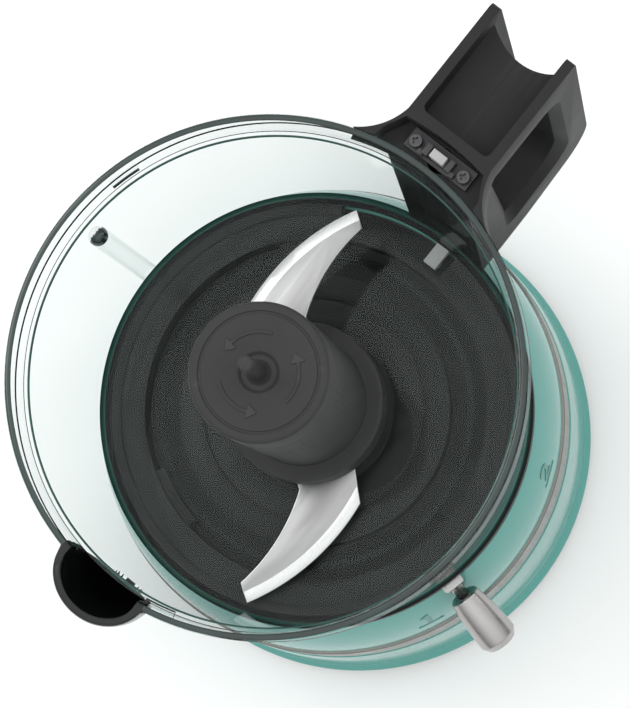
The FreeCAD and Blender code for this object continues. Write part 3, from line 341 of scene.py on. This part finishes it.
def board_look(name):
    """Solder mask with faint traces."""
    s = Surface(name)
    bricks = s.node("ShaderNodeTexBrick")
    bricks.inputs["Scale"].default_value = 130.0
    bricks.inputs["Mortar Size"].default_value = 0.03
    bricks.inputs["Color1"].default_value = (0.02, 0.17, 0.07, 1)
    bricks.inputs["Color2"].default_value = (0.025, 0.2, 0.08, 1)
    bricks.inputs["Mortar"].default_value = (0.08, 0.34, 0.14, 1)
    s.link(s.coords, bricks.inputs["Vector"])
    s.link(bricks.outputs["Color"], s.shader.inputs["Base Color"])
    s.link(s.ranged(s.noise(80.0), 0.25, 0.4), s.shader.inputs["Roughness"])
    s.bumped((bricks.outputs["Fac"], 0.2, 0.05))
    return s.material


def make_looks():
    """One material for each slot of the record, and a few for the clear bowl's and the blades' edges. The
    bowl's lip, edge line and spout looks, the deck's edge band and the raised marks are dark colours
    painted as shade.
    """
    along_z = (1.0, 1.0, 0.02)
    along_x = (0.03, 1.0, 1.0)
    return {
        "teal_plastic": moulded("teal_plastic", (0.105, 0.34, 0.3), (0.1, 0.327, 0.29), 0.14, 0.6, 0.005,
                                edge_sheen=(0.2, 0.48, 0.43), sheen_gain=0.2, coat=0.05, specular=0.2),
        # A darker teal for the raised marks: painted shade for their shadow lines.
        "mark_shaded_teal": moulded("mark_shaded_teal", (0.05, 0.19, 0.165), (0.06, 0.21, 0.18), 0.3, 0.4, 0.02),
        "satin_trim": metallic("satin_trim", (0.2, 0.2, 0.185), (0.17, 0.17, 0.16), 0.3, along_z, 300.0,
                               0.01),
        "dark_plastic": moulded("dark_plastic", (0.014, 0.014, 0.015), (0.018, 0.018, 0.019), 0.45, 0.3,
                                0.08),
        "foot_rubber": moulded("foot_rubber", (0.02, 0.02, 0.021), (0.027, 0.027, 0.028), 0.8, 0.4, 0.15),
        "screw_steel": metallic("screw_steel", (0.45, 0.45, 0.46), (0.38, 0.38, 0.39), 0.33),
        "deck_plastic": moulded("deck_plastic", (0.013, 0.013, 0.0134), (0.016, 0.016, 0.0164), 0.5,
                                0.3, 0.03, specular=0.2),
        "seal_rubber": moulded("seal_rubber", (0.02, 0.02, 0.02), (0.03, 0.03, 0.03), 0.7, 0.4, 0.15),
        "cast_plate": metallic("cast_plate", (0.55, 0.55, 0.56), (0.45, 0.45, 0.46), 0.5, scale=260.0,
                               depth=0.3),
        "natural_nylon": moulded("natural_nylon", (0.72, 0.7, 0.63), (0.67, 0.65, 0.58), 0.4, 0.4, 0.05),
        "sintered_bronze": metallic("sintered_bronze", (0.5, 0.33, 0.16), (0.38, 0.24, 0.12), 0.45,
                                    depth=0.3),
        "motor_steel": metallic("motor_steel", (0.4, 0.4, 0.42), (0.33, 0.33, 0.35), 0.35, along_z),
        "ferrite": moulded("ferrite", (0.03, 0.03, 0.033), (0.05, 0.05, 0.05), 0.55, 0.3, 0.2),
        "carbon": moulded("carbon", (0.015, 0.015, 0.016), (0.03, 0.03, 0.03), 0.5, 0.2, 0.2),
        "board_laminate": board_look("board_laminate"),
        "component_plastic": moulded("component_plastic", (0.03, 0.03, 0.035), (0.05, 0.05, 0.055), 0.35),
        "wire_insulation": moulded("wire_insulation", (0.4, 0.02, 0.02), (0.33, 0.02, 0.02), 0.35, 0.5),
        "spring_steel": metallic("spring_steel", (0.6, 0.6, 0.62), (0.5, 0.5, 0.52), 0.25),
        "spindle_steel": metallic("spindle_steel", (0.6, 0.6, 0.61), (0.52, 0.52, 0.53), 0.22,
                                  (1, 1, 12.0)),
        "copper_wire": wire_look("copper_wire", (0.55, 0.2, 0.08), (0.4, 0.13, 0.05)),
        "satin_lever": metallic("satin_lever", (0.42, 0.41, 0.4), (0.36, 0.355, 0.35), 0.27,
                                (1.0, 0.08, 1.0), 700.0, 0.04, 0.5),
        "dark_screw": metallic("dark_screw", (0.09, 0.09, 0.095), (0.07, 0.07, 0.075), 0.35),
        # Near-black colour for the deck's edge band: painted shade for the shadowed gap.
        "deck_painted_shade": moulded("deck_painted_shade", (0.005, 0.005, 0.005), (0.007, 0.007, 0.007), 0.5,
                              specular=0.15),
        "clear_bowl": clear_plastic("clear_bowl"),
        # The lip's near-black colour is painted shade for the clear rim's dark refraction; its paler
        # edges are painted highlight.
        "bowl_lip": moulded("bowl_lip", (0.006, 0.014, 0.012), (0.012, 0.035, 0.03), 0.12, 0.5, 0.01,
                            edge_sheen=(0.03, 0.09, 0.075), coat=0.5),
        # Dark green edge lines: painted shade for dark refraction at the ledge and for the shaded gap at
        # the wall's foot.
        "bowl_edge_line": moulded("bowl_edge_line", (0.018, 0.06, 0.05), (0.03, 0.085, 0.07), 0.2, 0.5,
                                  0.01),
        # Near-black spout: painted shade standing in for the clear spout's dark refraction.
        "spout_painted_dark": moulded("spout_painted_dark", (0.004, 0.005, 0.005), (0.007, 0.008, 0.008), 0.16, 0.4,
                               0.03),
        "handle_plastic": moulded("handle_plastic", (0.017, 0.017, 0.0175), (0.02, 0.02, 0.0205), 0.55,
                                  0.3, 0.06, edge_sheen=(0.05, 0.05, 0.05), sheen_gain=0.25, specular=0.2),
        "guide_plastic": moulded("guide_plastic", (0.035, 0.035, 0.036), (0.045, 0.045, 0.045), 0.4),
        "plunger_plastic": moulded("plunger_plastic", (0.36, 0.36, 0.36), (0.32, 0.32, 0.32), 0.4),
        "hub_plastic": moulded("hub_plastic", (0.033, 0.033, 0.034), (0.038, 0.038, 0.039), 0.55, 0.3,
                               0.05, edge_sheen=(0.09, 0.09, 0.09), specular=0.2),
        "blade_steel": metallic("blade_steel", (0.38, 0.38, 0.38), (0.35, 0.35, 0.35), 0.4, along_x,
                                900.0, 0.01),
        "blade_edge": metallic("blade_edge", (0.7, 0.7, 0.7), (0.65, 0.65, 0.65), 0.25, along_x, 900.0,
                               0.01),
    }


LOOKS = make_looks()
for entry in frame["record"]["subparts"]:
    dress(frame["nodes"][entry["node"]], entry["material_slot"])


# ---------------------------------------------------------------- work bowl

LIP_INNER = RIM_RADIUS - 2.2
WALL_FOOT = 104.8
WALL_FOOT_RADIUS = 59.9
WALL_HEAD_RADIUS = 64.2
STEP_HEIGHT = 2.0
OUTLINE_FOOT = 108.0
FOOT_RING_BOTTOM = 95.0
CHIMNEY_TOP = 150.0
TAB_LOW, TAB_HIGH = 186.5, 188.1
# Material indices: all but CLEAR are dark colours painted as shade.
CLEAR, LIP, EDGE_LINE, SPOUT = range(4)
SPOUT_CENTRE = 63.8
SPOUT_OUTER = (11.2, 13.0, 35.0)
SPOUT_WALL = 2.2
SPOUT_STEPS = 60
OUTER_STEPS = 130


def smooth_max(a, b, width):
    """The larger of two values, rounded off where they are within a width of each other."""
    overlap = max(width - abs(a - b), 0.0) / width
    return max(a, b) + overlap * overlap * width / 4.0


def spout_radius(turn, z, axes):
    """Distance from the bowl's axis to the spout's ellipsoid, falling away smoothly beside it."""
    a, b, c = axes
    steep = (math.cos(turn) / a) ** 2 + (math.sin(turn) / b) ** 2
    toward = SPOUT_CENTRE * math.cos(turn) / a ** 2
    rest = (SPOUT_CENTRE / a) ** 2 + ((z - RIM_TOP) / c) ** 2 - 1.0
    found = toward * toward - steep * rest
    reach = math.sqrt(found) if found > 0 else -3.0 * math.sqrt(-found)
    return (-toward + reach) / steep


def outer_wall(turn, z):
    """The bowl's outside radius at a height, with the spout blended in."""
    wall_head = LEDGE - STEP_HEIGHT
    if z < wall_head:
        rise = (z - WALL_FOOT) / (wall_head - WALL_FOOT)
        plain = WALL_FOOT_RADIUS + (WALL_HEAD_RADIUS - WALL_FOOT_RADIUS) * rise
    elif z < LEDGE:
        plain = WALL_HEAD_RADIUS + (RIM_RADIUS - WALL_HEAD_RADIUS) * (z - wall_head) / STEP_HEIGHT
    else:
        plain = RIM_RADIUS
    return smooth_max(plain, spout_radius(turn, z, SPOUT_OUTER), 2.0)


def trough_bottom(turn):
    """Where the spout's hollow meets the back of the bowl's wall; the ledge's height elsewhere."""
    a, b, c = (axis - SPOUT_WALL for axis in SPOUT_OUTER)
    x, y = LIP_INNER * math.cos(turn) + SPOUT_CENTRE, LIP_INNER * math.sin(turn)
    left = 1.0 - (x / a) ** 2 - (y / b) ** 2
    return min(LEDGE, RIM_TOP - c * math.sqrt(left)) if left > 0 else LEDGE


def bowl_section(turn):
    """The bowl wall's closed outline at one turn about the axis, always with the same count of points."""
    inset = tuple(axis - SPOUT_WALL for axis in SPOUT_OUTER)
    points = soften([(8.5, CHIMNEY_TOP), (8.5, FLOOR_UNDER), (59.8, FLOOR_UNDER, 1.7),
                     (60.1, OUTLINE_FOOT)], closed=False)
    for i in range(1, OUTER_STEPS + 1):
        z = OUTLINE_FOOT + (RIM_TOP - 0.8 - OUTLINE_FOOT) * i / OUTER_STEPS
        points.append((outer_wall(turn, z), z))
    outside = outer_wall(turn, RIM_TOP)
    inside = smooth_max(LIP_INNER + 0.2, spout_radius(turn, RIM_TOP, inset), 1.0)
    points += [(outside - 0.25, RIM_TOP - 0.25), (outside - 0.8, RIM_TOP), (inside + 0.6, RIM_TOP),
               (inside + 0.2, RIM_TOP - 0.2)]
    low = trough_bottom(turn)
    for i in range(1, SPOUT_STEPS + 1):
        z = RIM_TOP - 0.6 + (low - RIM_TOP + 0.6) * i / SPOUT_STEPS
        points.append((smooth_max(LIP_INNER, spout_radius(turn, z, inset), 0.4), z))
    for i in range(1, 4):
        points.append((LIP_INNER, low + (LEDGE - low) * i / 3))
    points += soften([(LIP_INNER - 0.2, LEDGE), (61.6, LEDGE, 0.5), (57.6, 107.4),
                      (57.4, BOWL_FLOOR, 2.3), (55.0, BOWL_FLOOR), (13.0, BOWL_FLOOR),
                      (11.0, BOWL_FLOOR, 1.8), (10.4, CHIMNEY_TOP - 0.6), (10.4, CHIMNEY_TOP, 0.5),
                      (9.4, CHIMNEY_TOP)], closed=False)
    return [(p[0], p[1]) for p in points]


def bowl_turns():
    """Turns about the axis: fine steps across the spout and even ones elsewhere."""
    fine = [math.radians(160.0 + 0.25 * i) for i in range(161)]
    coarse = [math.radians(200.0 + 2.0 * i) for i in range(1, 160)]
    return fine + coarse


def add_ring(bm, outline, start=0.0, stop=360.0, steps=120):
    """Adds a lathed band, whole or as a sector with closed ends, to a bmesh."""
    whole = stop - start >= 360.0
    rings = []
    for k in range(steps if whole else steps + 1):
        turn = math.radians(start + (stop - start) * k / steps)
        rings.append([bm.verts.new((r * math.cos(turn), r * math.sin(turn), z)) for r, z in outline])
    pairs = list(zip(rings, rings[1:]))
    if whole:
        pairs.append((rings[-1], rings[0]))
    else:
        bm.faces.new(rings[0])
        bm.faces.new(rings[-1][::-1])
    join_rings(bm, pairs)


def add_rib(bm, azimuth, foot, head, radius):
    """Adds a round-topped rib that leans with the wall, from foot to head as (r, z)."""
    steps = 28
    turn = math.radians(azimuth)
    out = Vector((math.cos(turn), math.sin(turn), 0))
    across = Vector((-math.sin(turn), math.cos(turn), 0))
    levels = [(foot, radius), (head, radius)]
    for k in range(1, 8):
        lift = math.radians(90.0 * k / 8)
        levels.append(((head[0], head[1] + radius * math.sin(lift)), radius * math.cos(lift)))
    rings = []
    for (r, z), size in levels:
        ring = []
        for k in range(steps):
            angle = 2 * math.pi * k / steps
            spot = out * (r + size * math.cos(angle)) + across * (size * math.sin(angle))
            ring.append(bm.verts.new((spot.x, spot.y, z)))
        rings.append(ring)
    for here, following in zip(rings, rings[1:]):
        for k in range(steps):
            n = (k + 1) % steps
            bm.faces.new((here[k], here[n], following[n], following[k]))
    bm.faces.new(rings[0][::-1])
    bm.faces.new(rings[-1])


def bowl():
    """The clear work bowl with its spout, foot ring, lugs, inside rib and lid tabs."""
    bm = bmesh.new()
    rings = []
    for turn in bowl_turns():
        section = bowl_section(turn)
        rings.append([bm.verts.new((r * math.cos(turn), r * math.sin(turn), z)) for r, z in section])
    join_rings(bm, zip(rings, rings[1:] + rings[:1]))
    low, under = FOOT_RING_BOTTOM, FLOOR_UNDER + 0.1
    add_ring(bm, soften([(42.2, low), (44.2, low, 0.5), (44.2, under), (42.2, under)]))
    for azimuth in (40.0, 160.0, 280.0):
        lug = soften([(43.2, low), (46.8, low, 0.5), (46.8, low + 2.4, 0.5), (43.2, low + 2.4)])
        add_ring(bm, lug, azimuth - 9.0, azimuth + 9.0, 12)
    for azimuth in (74.0, 194.0, 314.0):
        tab = soften([(61.9, TAB_LOW, 0.4), (63.8, TAB_LOW), (63.8, TAB_HIGH), (61.9, TAB_HIGH, 0.4)])
        add_ring(bm, tab, azimuth - 3.7, azimuth + 3.7, 8)
    add_rib(bm, 89.0, (58.4, WALL_FOOT), (60.8, 169.0), 2.7)
    piece = to_object(bm, "work_bowl_clear", 32.0)
    stand_for(piece, "work_bowl", "bowl", "clear_bowl")
    # Extra materials of painted shade: near-black lip, dark edge lines and near-black spout.
    for name in ("bowl_lip", "bowl_edge_line", "spout_painted_dark"):
        piece.data.materials.append(LOOKS[name])
    for face in piece.data.polygons:
        face.material_index = bowl_look(face.center / MM)


def bowl_look(spot):
    """Which of the bowl's four materials a face takes: clear, or a near-black lip, thin dark edge lines
    or a near-black spout, the last three painted shade for the clear plastic's dark refraction and
    shadows.
    """
    r, z, turn = math.hypot(spot.x, spot.y), spot.z, math.atan2(spot.y, spot.x)
    round_wall = RIM_RADIUS if z > LEDGE else WALL_FOOT_RADIUS + 4.3 * (z - WALL_FOOT) / 74.2
    on_tab = TAB_LOW - 0.5 < z < TAB_HIGH + 0.4 and 61.5 < r < LIP_INNER - 0.1
    on_ledge_edge = 60.5 < r < 62.3 and LEDGE - 1.0 < z < LEDGE + 0.1
    # The spout's bulge is painted near-black: painted shade for its dark refraction.
    if z > 150.0 and r > 62.9 and outer_wall(turn, z) - round_wall > 0.6:
        return SPOUT
    # Lip top, lid tabs and the rib's top are painted near-black: painted shade for dark refraction, with
    # the tabs as their painted shadow.
    if (z > RIM_TOP - 0.35 and r > LIP_INNER) or on_tab or (r < 61.4 and 169.5 < z < 172.0):
        return LIP
    # Dark lines at the ledge's edge and a dark band at the wall's foot: painted shade.
    if on_ledge_edge or (r > 58.6 and z < 105.0):
        return EDGE_LINE
    return CLEAR


# ---------------------------------------------------------------- base shells

def shoulder_radius(z):
    """The outside radius of the upper shell's convex shoulder at a height."""
    low, high = Vector((66.1, TRIM_HIGH)), Vector((BODY_TOP_RADIUS, BODY_TOP))
    bulge, half = 70.0, (high - low).length / 2
    middle = (low + high) / 2
    inward = Vector((-(high - low).y, (high - low).x)).normalized()
    if inward.x > 0:
        inward = -inward
    centre = middle + inward * math.sqrt(bulge * bulge - half * half)
    return centre.x + math.sqrt(bulge * bulge - (z - centre.y) ** 2)


def turned_piece(name, corners, body, node, slot):
    """A piece turned from a rounded outline that replaces one CAD node."""
    stand_for(to_object(lathe_mesh(soften(corners)), name, 32.0), body, node, slot)


def base():
    """The upper and lower shells and the trim ring between them."""
    count = 24
    shoulder = [(shoulder_radius(z), z) for z in
                (TRIM_HIGH + 0.6 + (BODY_TOP - TRIM_HIGH - 1.4) * i / count for i in range(count + 1))]
    turned_piece("base_shell_upper", [
        (61.7, TRIM_LOW), (64.3, TRIM_LOW), (64.3, TRIM_HIGH), (66.1, TRIM_HIGH, 0.5), *shoulder,
        (BODY_TOP_RADIUS, BODY_TOP, 0.9), (57.0, BODY_TOP, 0.3), (57.0, BODY_TOP - 3.0), (63.1, 72.2),
        (61.7, 64.2),
    ], "base", "base_housing", "teal_plastic")
    turned_piece("base_shell_lower", [
        (FLANGE_RADIUS - 3.0, 4.0), (FLANGE_RADIUS, 4.0, 0.9), (FLANGE_RADIUS, 6.8, 0.9), (69.4, 8.6,
                                                                                           1.6),
        (68.8, 15.0, 2.0), (68.3, 32.0, 6.0), (67.5, TRIM_LOW, 0.5), (64.3, TRIM_LOW), (64.3,
                                                                                        TRIM_LOW - 1.5),
        (66.2, 14.0), (68.0, 8.5),
    ], "base", "base_skirt", "teal_plastic")
    turned_piece("trim_ring", [
        (64.3, TRIM_LOW), (TRIM_RADIUS, TRIM_LOW, 0.6), (TRIM_RADIUS - 0.3, TRIM_HIGH - 1.6, 0.4),
        (TRIM_RADIUS - 0.3, TRIM_HIGH, 0.6), (64.3, TRIM_HIGH),
    ], "base", "trim_band", "satin_trim")


MARK_SCALE = 1.45


def on_shoulder(across, along, lift, azimuth):
    """A point on the shoulder in mm: across to the right as seen from outside, along up the slope."""
    z = 83.0 + along * 0.96
    turn = math.radians(azimuth) + across / 63.0
    r = shoulder_radius(z) + lift
    return r * math.cos(turn), r * math.sin(turn), z


def add_mark(bm, outline, azimuth):
    """Adds a low raised mark with a flat outline, wrapped onto the shoulder."""
    low, high = ([bm.verts.new(on_shoulder(x * MARK_SCALE, y * MARK_SCALE, lift, azimuth))
                  for x, y in outline] for lift in (-0.1, 0.25))
    join_caps(bm, low, high)


def speed_marks():
    """A raised 1 and 2 beside the lever, each with an index bar, in a darker teal that is painted shade
    for the shadow lines round the raised marks.
    """
    bm = bmesh.new()
    one = [(-0.45, -2.4), (0.45, -2.4), (0.45, 2.4), (-0.2, 2.4), (-1.3, 1.5), (-1.0, 1.0), (-0.45, 1.4)]
    two = [(-1.5, -2.4), (1.5, -2.4), (1.5, -1.7), (-0.4, -1.7), (1.1, -0.1), (1.5, 0.8), (1.3, 1.8),
           (0.5, 2.4), (-0.6, 2.4), (-1.3, 1.9), (-1.6, 1.2), (-0.8, 1.0), (-0.4, 1.6), (0.3, 1.6),
           (0.6, 1.0), (0.3, 0.3), (-1.5, -1.6)]
    bar = [(-2.6, -3.9), (2.6, -3.9), (2.6, -3.4), (-2.6, -3.4)]
    for outline, azimuth in ((one, -114.0), (two, -66.0)):
        add_mark(bm, outline, azimuth)
        add_mark(bm, bar, azimuth)
    add_piece(bm, "speed_marks", "base", "mark_shaded_teal")


# ---------------------------------------------------------------- deck

def add_piece(bm, name, body, look):
    """An extra piece that stands for no CAD node, with its body and finish."""
    piece = to_object(bm, name, 30.0)
    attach(piece, body)
    dress(piece, look)


def deck():
    """The deck, and a near-black band round its edge that shows outside the bowl's foot: painted shade
    for the shadowed gap there.
    """
    stand_for(softened("deck", 0.3, 2), "base", "deck", "deck_plastic")
    bm = bmesh.new()
    # A near-black ring, painted shade in the gap between the deck and the bowl's foot.
    add_ring(bm, soften([(57.0, 102.7), (60.3, BODY_TOP + 0.1), (60.4, 102.6, 0.5), (59.8, 102.96, 0.1),
                         (57.0, 102.96, 0.1)]), steps=192)
    add_piece(bm, "deck_edge_shade_band", "base", "deck_painted_shade")


def hub_cap():
    """The blade hub's domed cap with raised arcs, arrow heads and the centre pin."""
    top = HUB_TOP
    turned_piece("hub_cap_turned", [
        (0.01, top - 12.0), (17.6, top - 12.0), (17.6, top, 2.0), (15.2, top, 0.3), (15.2, top - 0.35,
                                                                                     0.2),
        (14.5, top - 0.35, 0.2), (14.5, top, 0.3), (5.2, top - 0.1, 0.6), (4.4, top - 0.7, 0.5),
        (3.2, top - 0.7, 0.5), (2.3, top + 1.0, 0.8), (1.9, top + 18.9), (1.9, top + 20.0, 1.0),
        (0.01, top + 20.0),
    ], "blade_assembly", "hub_cap", "hub_plastic")
    bm = bmesh.new()
    sunk, raised = top - 0.2, top + 0.25
    for start in (20.0, 140.0, 260.0):
        dash = soften([(9.6, sunk), (10.4, sunk), (10.4, raised, 0.1), (9.6, raised, 0.1)], steps=2)
        add_ring(bm, dash, start, start + 62.0, 24)
        turn = math.radians(start + 62.0)
        tip = math.radians(start + 76.0)
        corners = [(8.2, turn), (11.8, turn), (10.0, tip)]
        low, high = ([bm.verts.new((r * math.cos(t), r * math.sin(t), z)) for r, t in corners]
                     for z in (sunk, raised))
        join_caps(bm, low, high)
    add_piece(bm, "hub_arrows", "blade_assembly", "hub_plastic")


def blades():
    """The two blades. Their ground bevels, slightly off level, are brighter than the flats."""
    for node in ("upper_blade", "lower_blade"):
        piece = softened(node, 0.12, 2, crease=25.0)
        stand_for(piece, "blade_assembly", node, "blade_steel")
        piece.data.materials.append(LOOKS["blade_edge"])
        for face in piece.data.polygons:
            face.material_index = 1 if 0.88 < face.normal.z < 0.985 else 0


def spring_piece(node, body):
    """A coil spring copied from its CAD node's mesh, riding on its body with a mesh of its own."""
    piece = to_object(node_mesh(node), node + "_coil", 40.0)
    stand_for(piece, body, node, "spring_steel")
    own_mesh(piece)


def softened_parts():
    """CAD shapes that only need their edges rounded."""
    for node, body, slot, width in (
            ("blade_hub", "blade_assembly", "hub_plastic", 0.3),
            ("handle", "work_bowl", "handle_plastic", 0.7),
            ("plunger_guide", "work_bowl", "guide_plastic", 0.3),
            ("plunger", "lid_plunger", "plunger_plastic", 0.3),
            ("lever_arm", "lever", "satin_lever", 0.35),
            ("lever_knob", "lever", "satin_lever", 0.25)):
        stand_for(softened(node, width), body, node, slot)
    dress(frame["nodes"]["handle_screws"], "dark_screw")


bowl()
base()
speed_marks()
deck()
hub_cap()
blades()
softened_parts()
spring_piece("plunger_spring", "work_bowl")
spring_piece("pin_spring", "base")


# ---------------------------------------------------------------- camera, floor and light

def camera():
    """Looks down on the bowl from in front, rolled so that the handle points up and to the right."""
    aim = Vector((12.0, 0.8, 150.0)) * MM
    azimuth, elevation, roll = math.radians(-89.64), math.radians(79.66), math.radians(-51.87)
    distance = 779.5 * MM
    outward = Vector((math.cos(elevation) * math.cos(azimuth), math.cos(elevation) * math.sin(azimuth),
                      math.sin(elevation)))
    right = outward.cross(Vector((0, 0, 1))).normalized() * -1
    up = outward.cross(right)
    turned_right = right * math.cos(roll) + up * math.sin(roll)
    turned_up = outward.cross(turned_right)
    data = bpy.data.cameras.new("camera")
    data.sensor_width = 36.0
    data.lens = 152.5
    data.clip_end = 10.0
    holder = bpy.data.objects.new("camera", data)
    axes = Matrix((turned_right, turned_up, outward)).transposed().to_4x4()
    holder.matrix_world = Matrix.Translation(aim + outward * distance) @ axes
    bpy.context.scene.collection.objects.link(holder)
    bpy.context.scene.camera = holder


def floor():
    """A wide pale floor."""
    bm = bmesh.new()
    bmesh.ops.create_grid(bm, x_segments=4, y_segments=4, size=2500.0)
    piece = to_object(bm, "floor")
    s = Surface("floor_white")
    pale = s.mixed(s.ranged(s.noise(3.0), 0.0, 1.0), (0.93, 0.93, 0.93), (0.91, 0.91, 0.91))
    s.link(pale, s.shader.inputs["Base Color"])
    s.shader.inputs["Roughness"].default_value = 0.75
    s.shader.inputs["Specular IOR Level"].default_value = 0.1
    s.bumped((s.noise(300.0), 0.05, 0.05))
    piece.data.materials.append(s.material)


def area_light(name, spot, target, size, power, height=None):
    """A rectangular light at a spot, facing its target."""
    data = bpy.data.lights.new(name, "AREA")
    data.shape = "RECTANGLE"
    data.size, data.size_y = size, height or size
    data.energy = power
    holder = bpy.data.objects.new(name, data)
    holder.location = spot
    holder.rotation_euler = (Vector(target) - Vector(spot)).to_track_quat("-Z", "Y").to_euler()
    bpy.context.scene.collection.objects.link(holder)


def studio():
    """A white world that brightens towards the zenith, and two soft area lights."""
    world = bpy.data.worlds.new("studio")
    bpy.context.scene.world = world
    world.use_nodes = True
    tree = world.node_tree
    tree.nodes["Background"].inputs["Color"].default_value = (1.0, 1.0, 1.0, 1.0)
    direction = tree.nodes.new("ShaderNodeTexCoord").outputs["Generated"]
    split = tree.nodes.new("ShaderNodeSeparateXYZ")
    tree.links.new(direction, split.inputs[0])
    rising = tree.nodes.new("ShaderNodeMapRange")
    rising.inputs["From Min"].default_value = 0.0
    rising.inputs["From Max"].default_value = 1.0
    rising.inputs["To Min"].default_value = 0.15
    rising.inputs["To Max"].default_value = 1.7
    tree.links.new(split.outputs["Z"], rising.inputs["Value"])
    tree.links.new(rising.outputs["Result"], tree.nodes["Background"].inputs["Strength"])
    area_light("key", (-0.25, 1.1, 1.5), (0, 0, 0.1), 0.9, 5.0)
    area_light("side", (1.3, -0.5, 0.9), (0, 0, 0.08), 0.25, 1.5, 0.7)
    bpy.context.scene.view_settings.view_transform = "Standard"


camera()
floor()
studio()
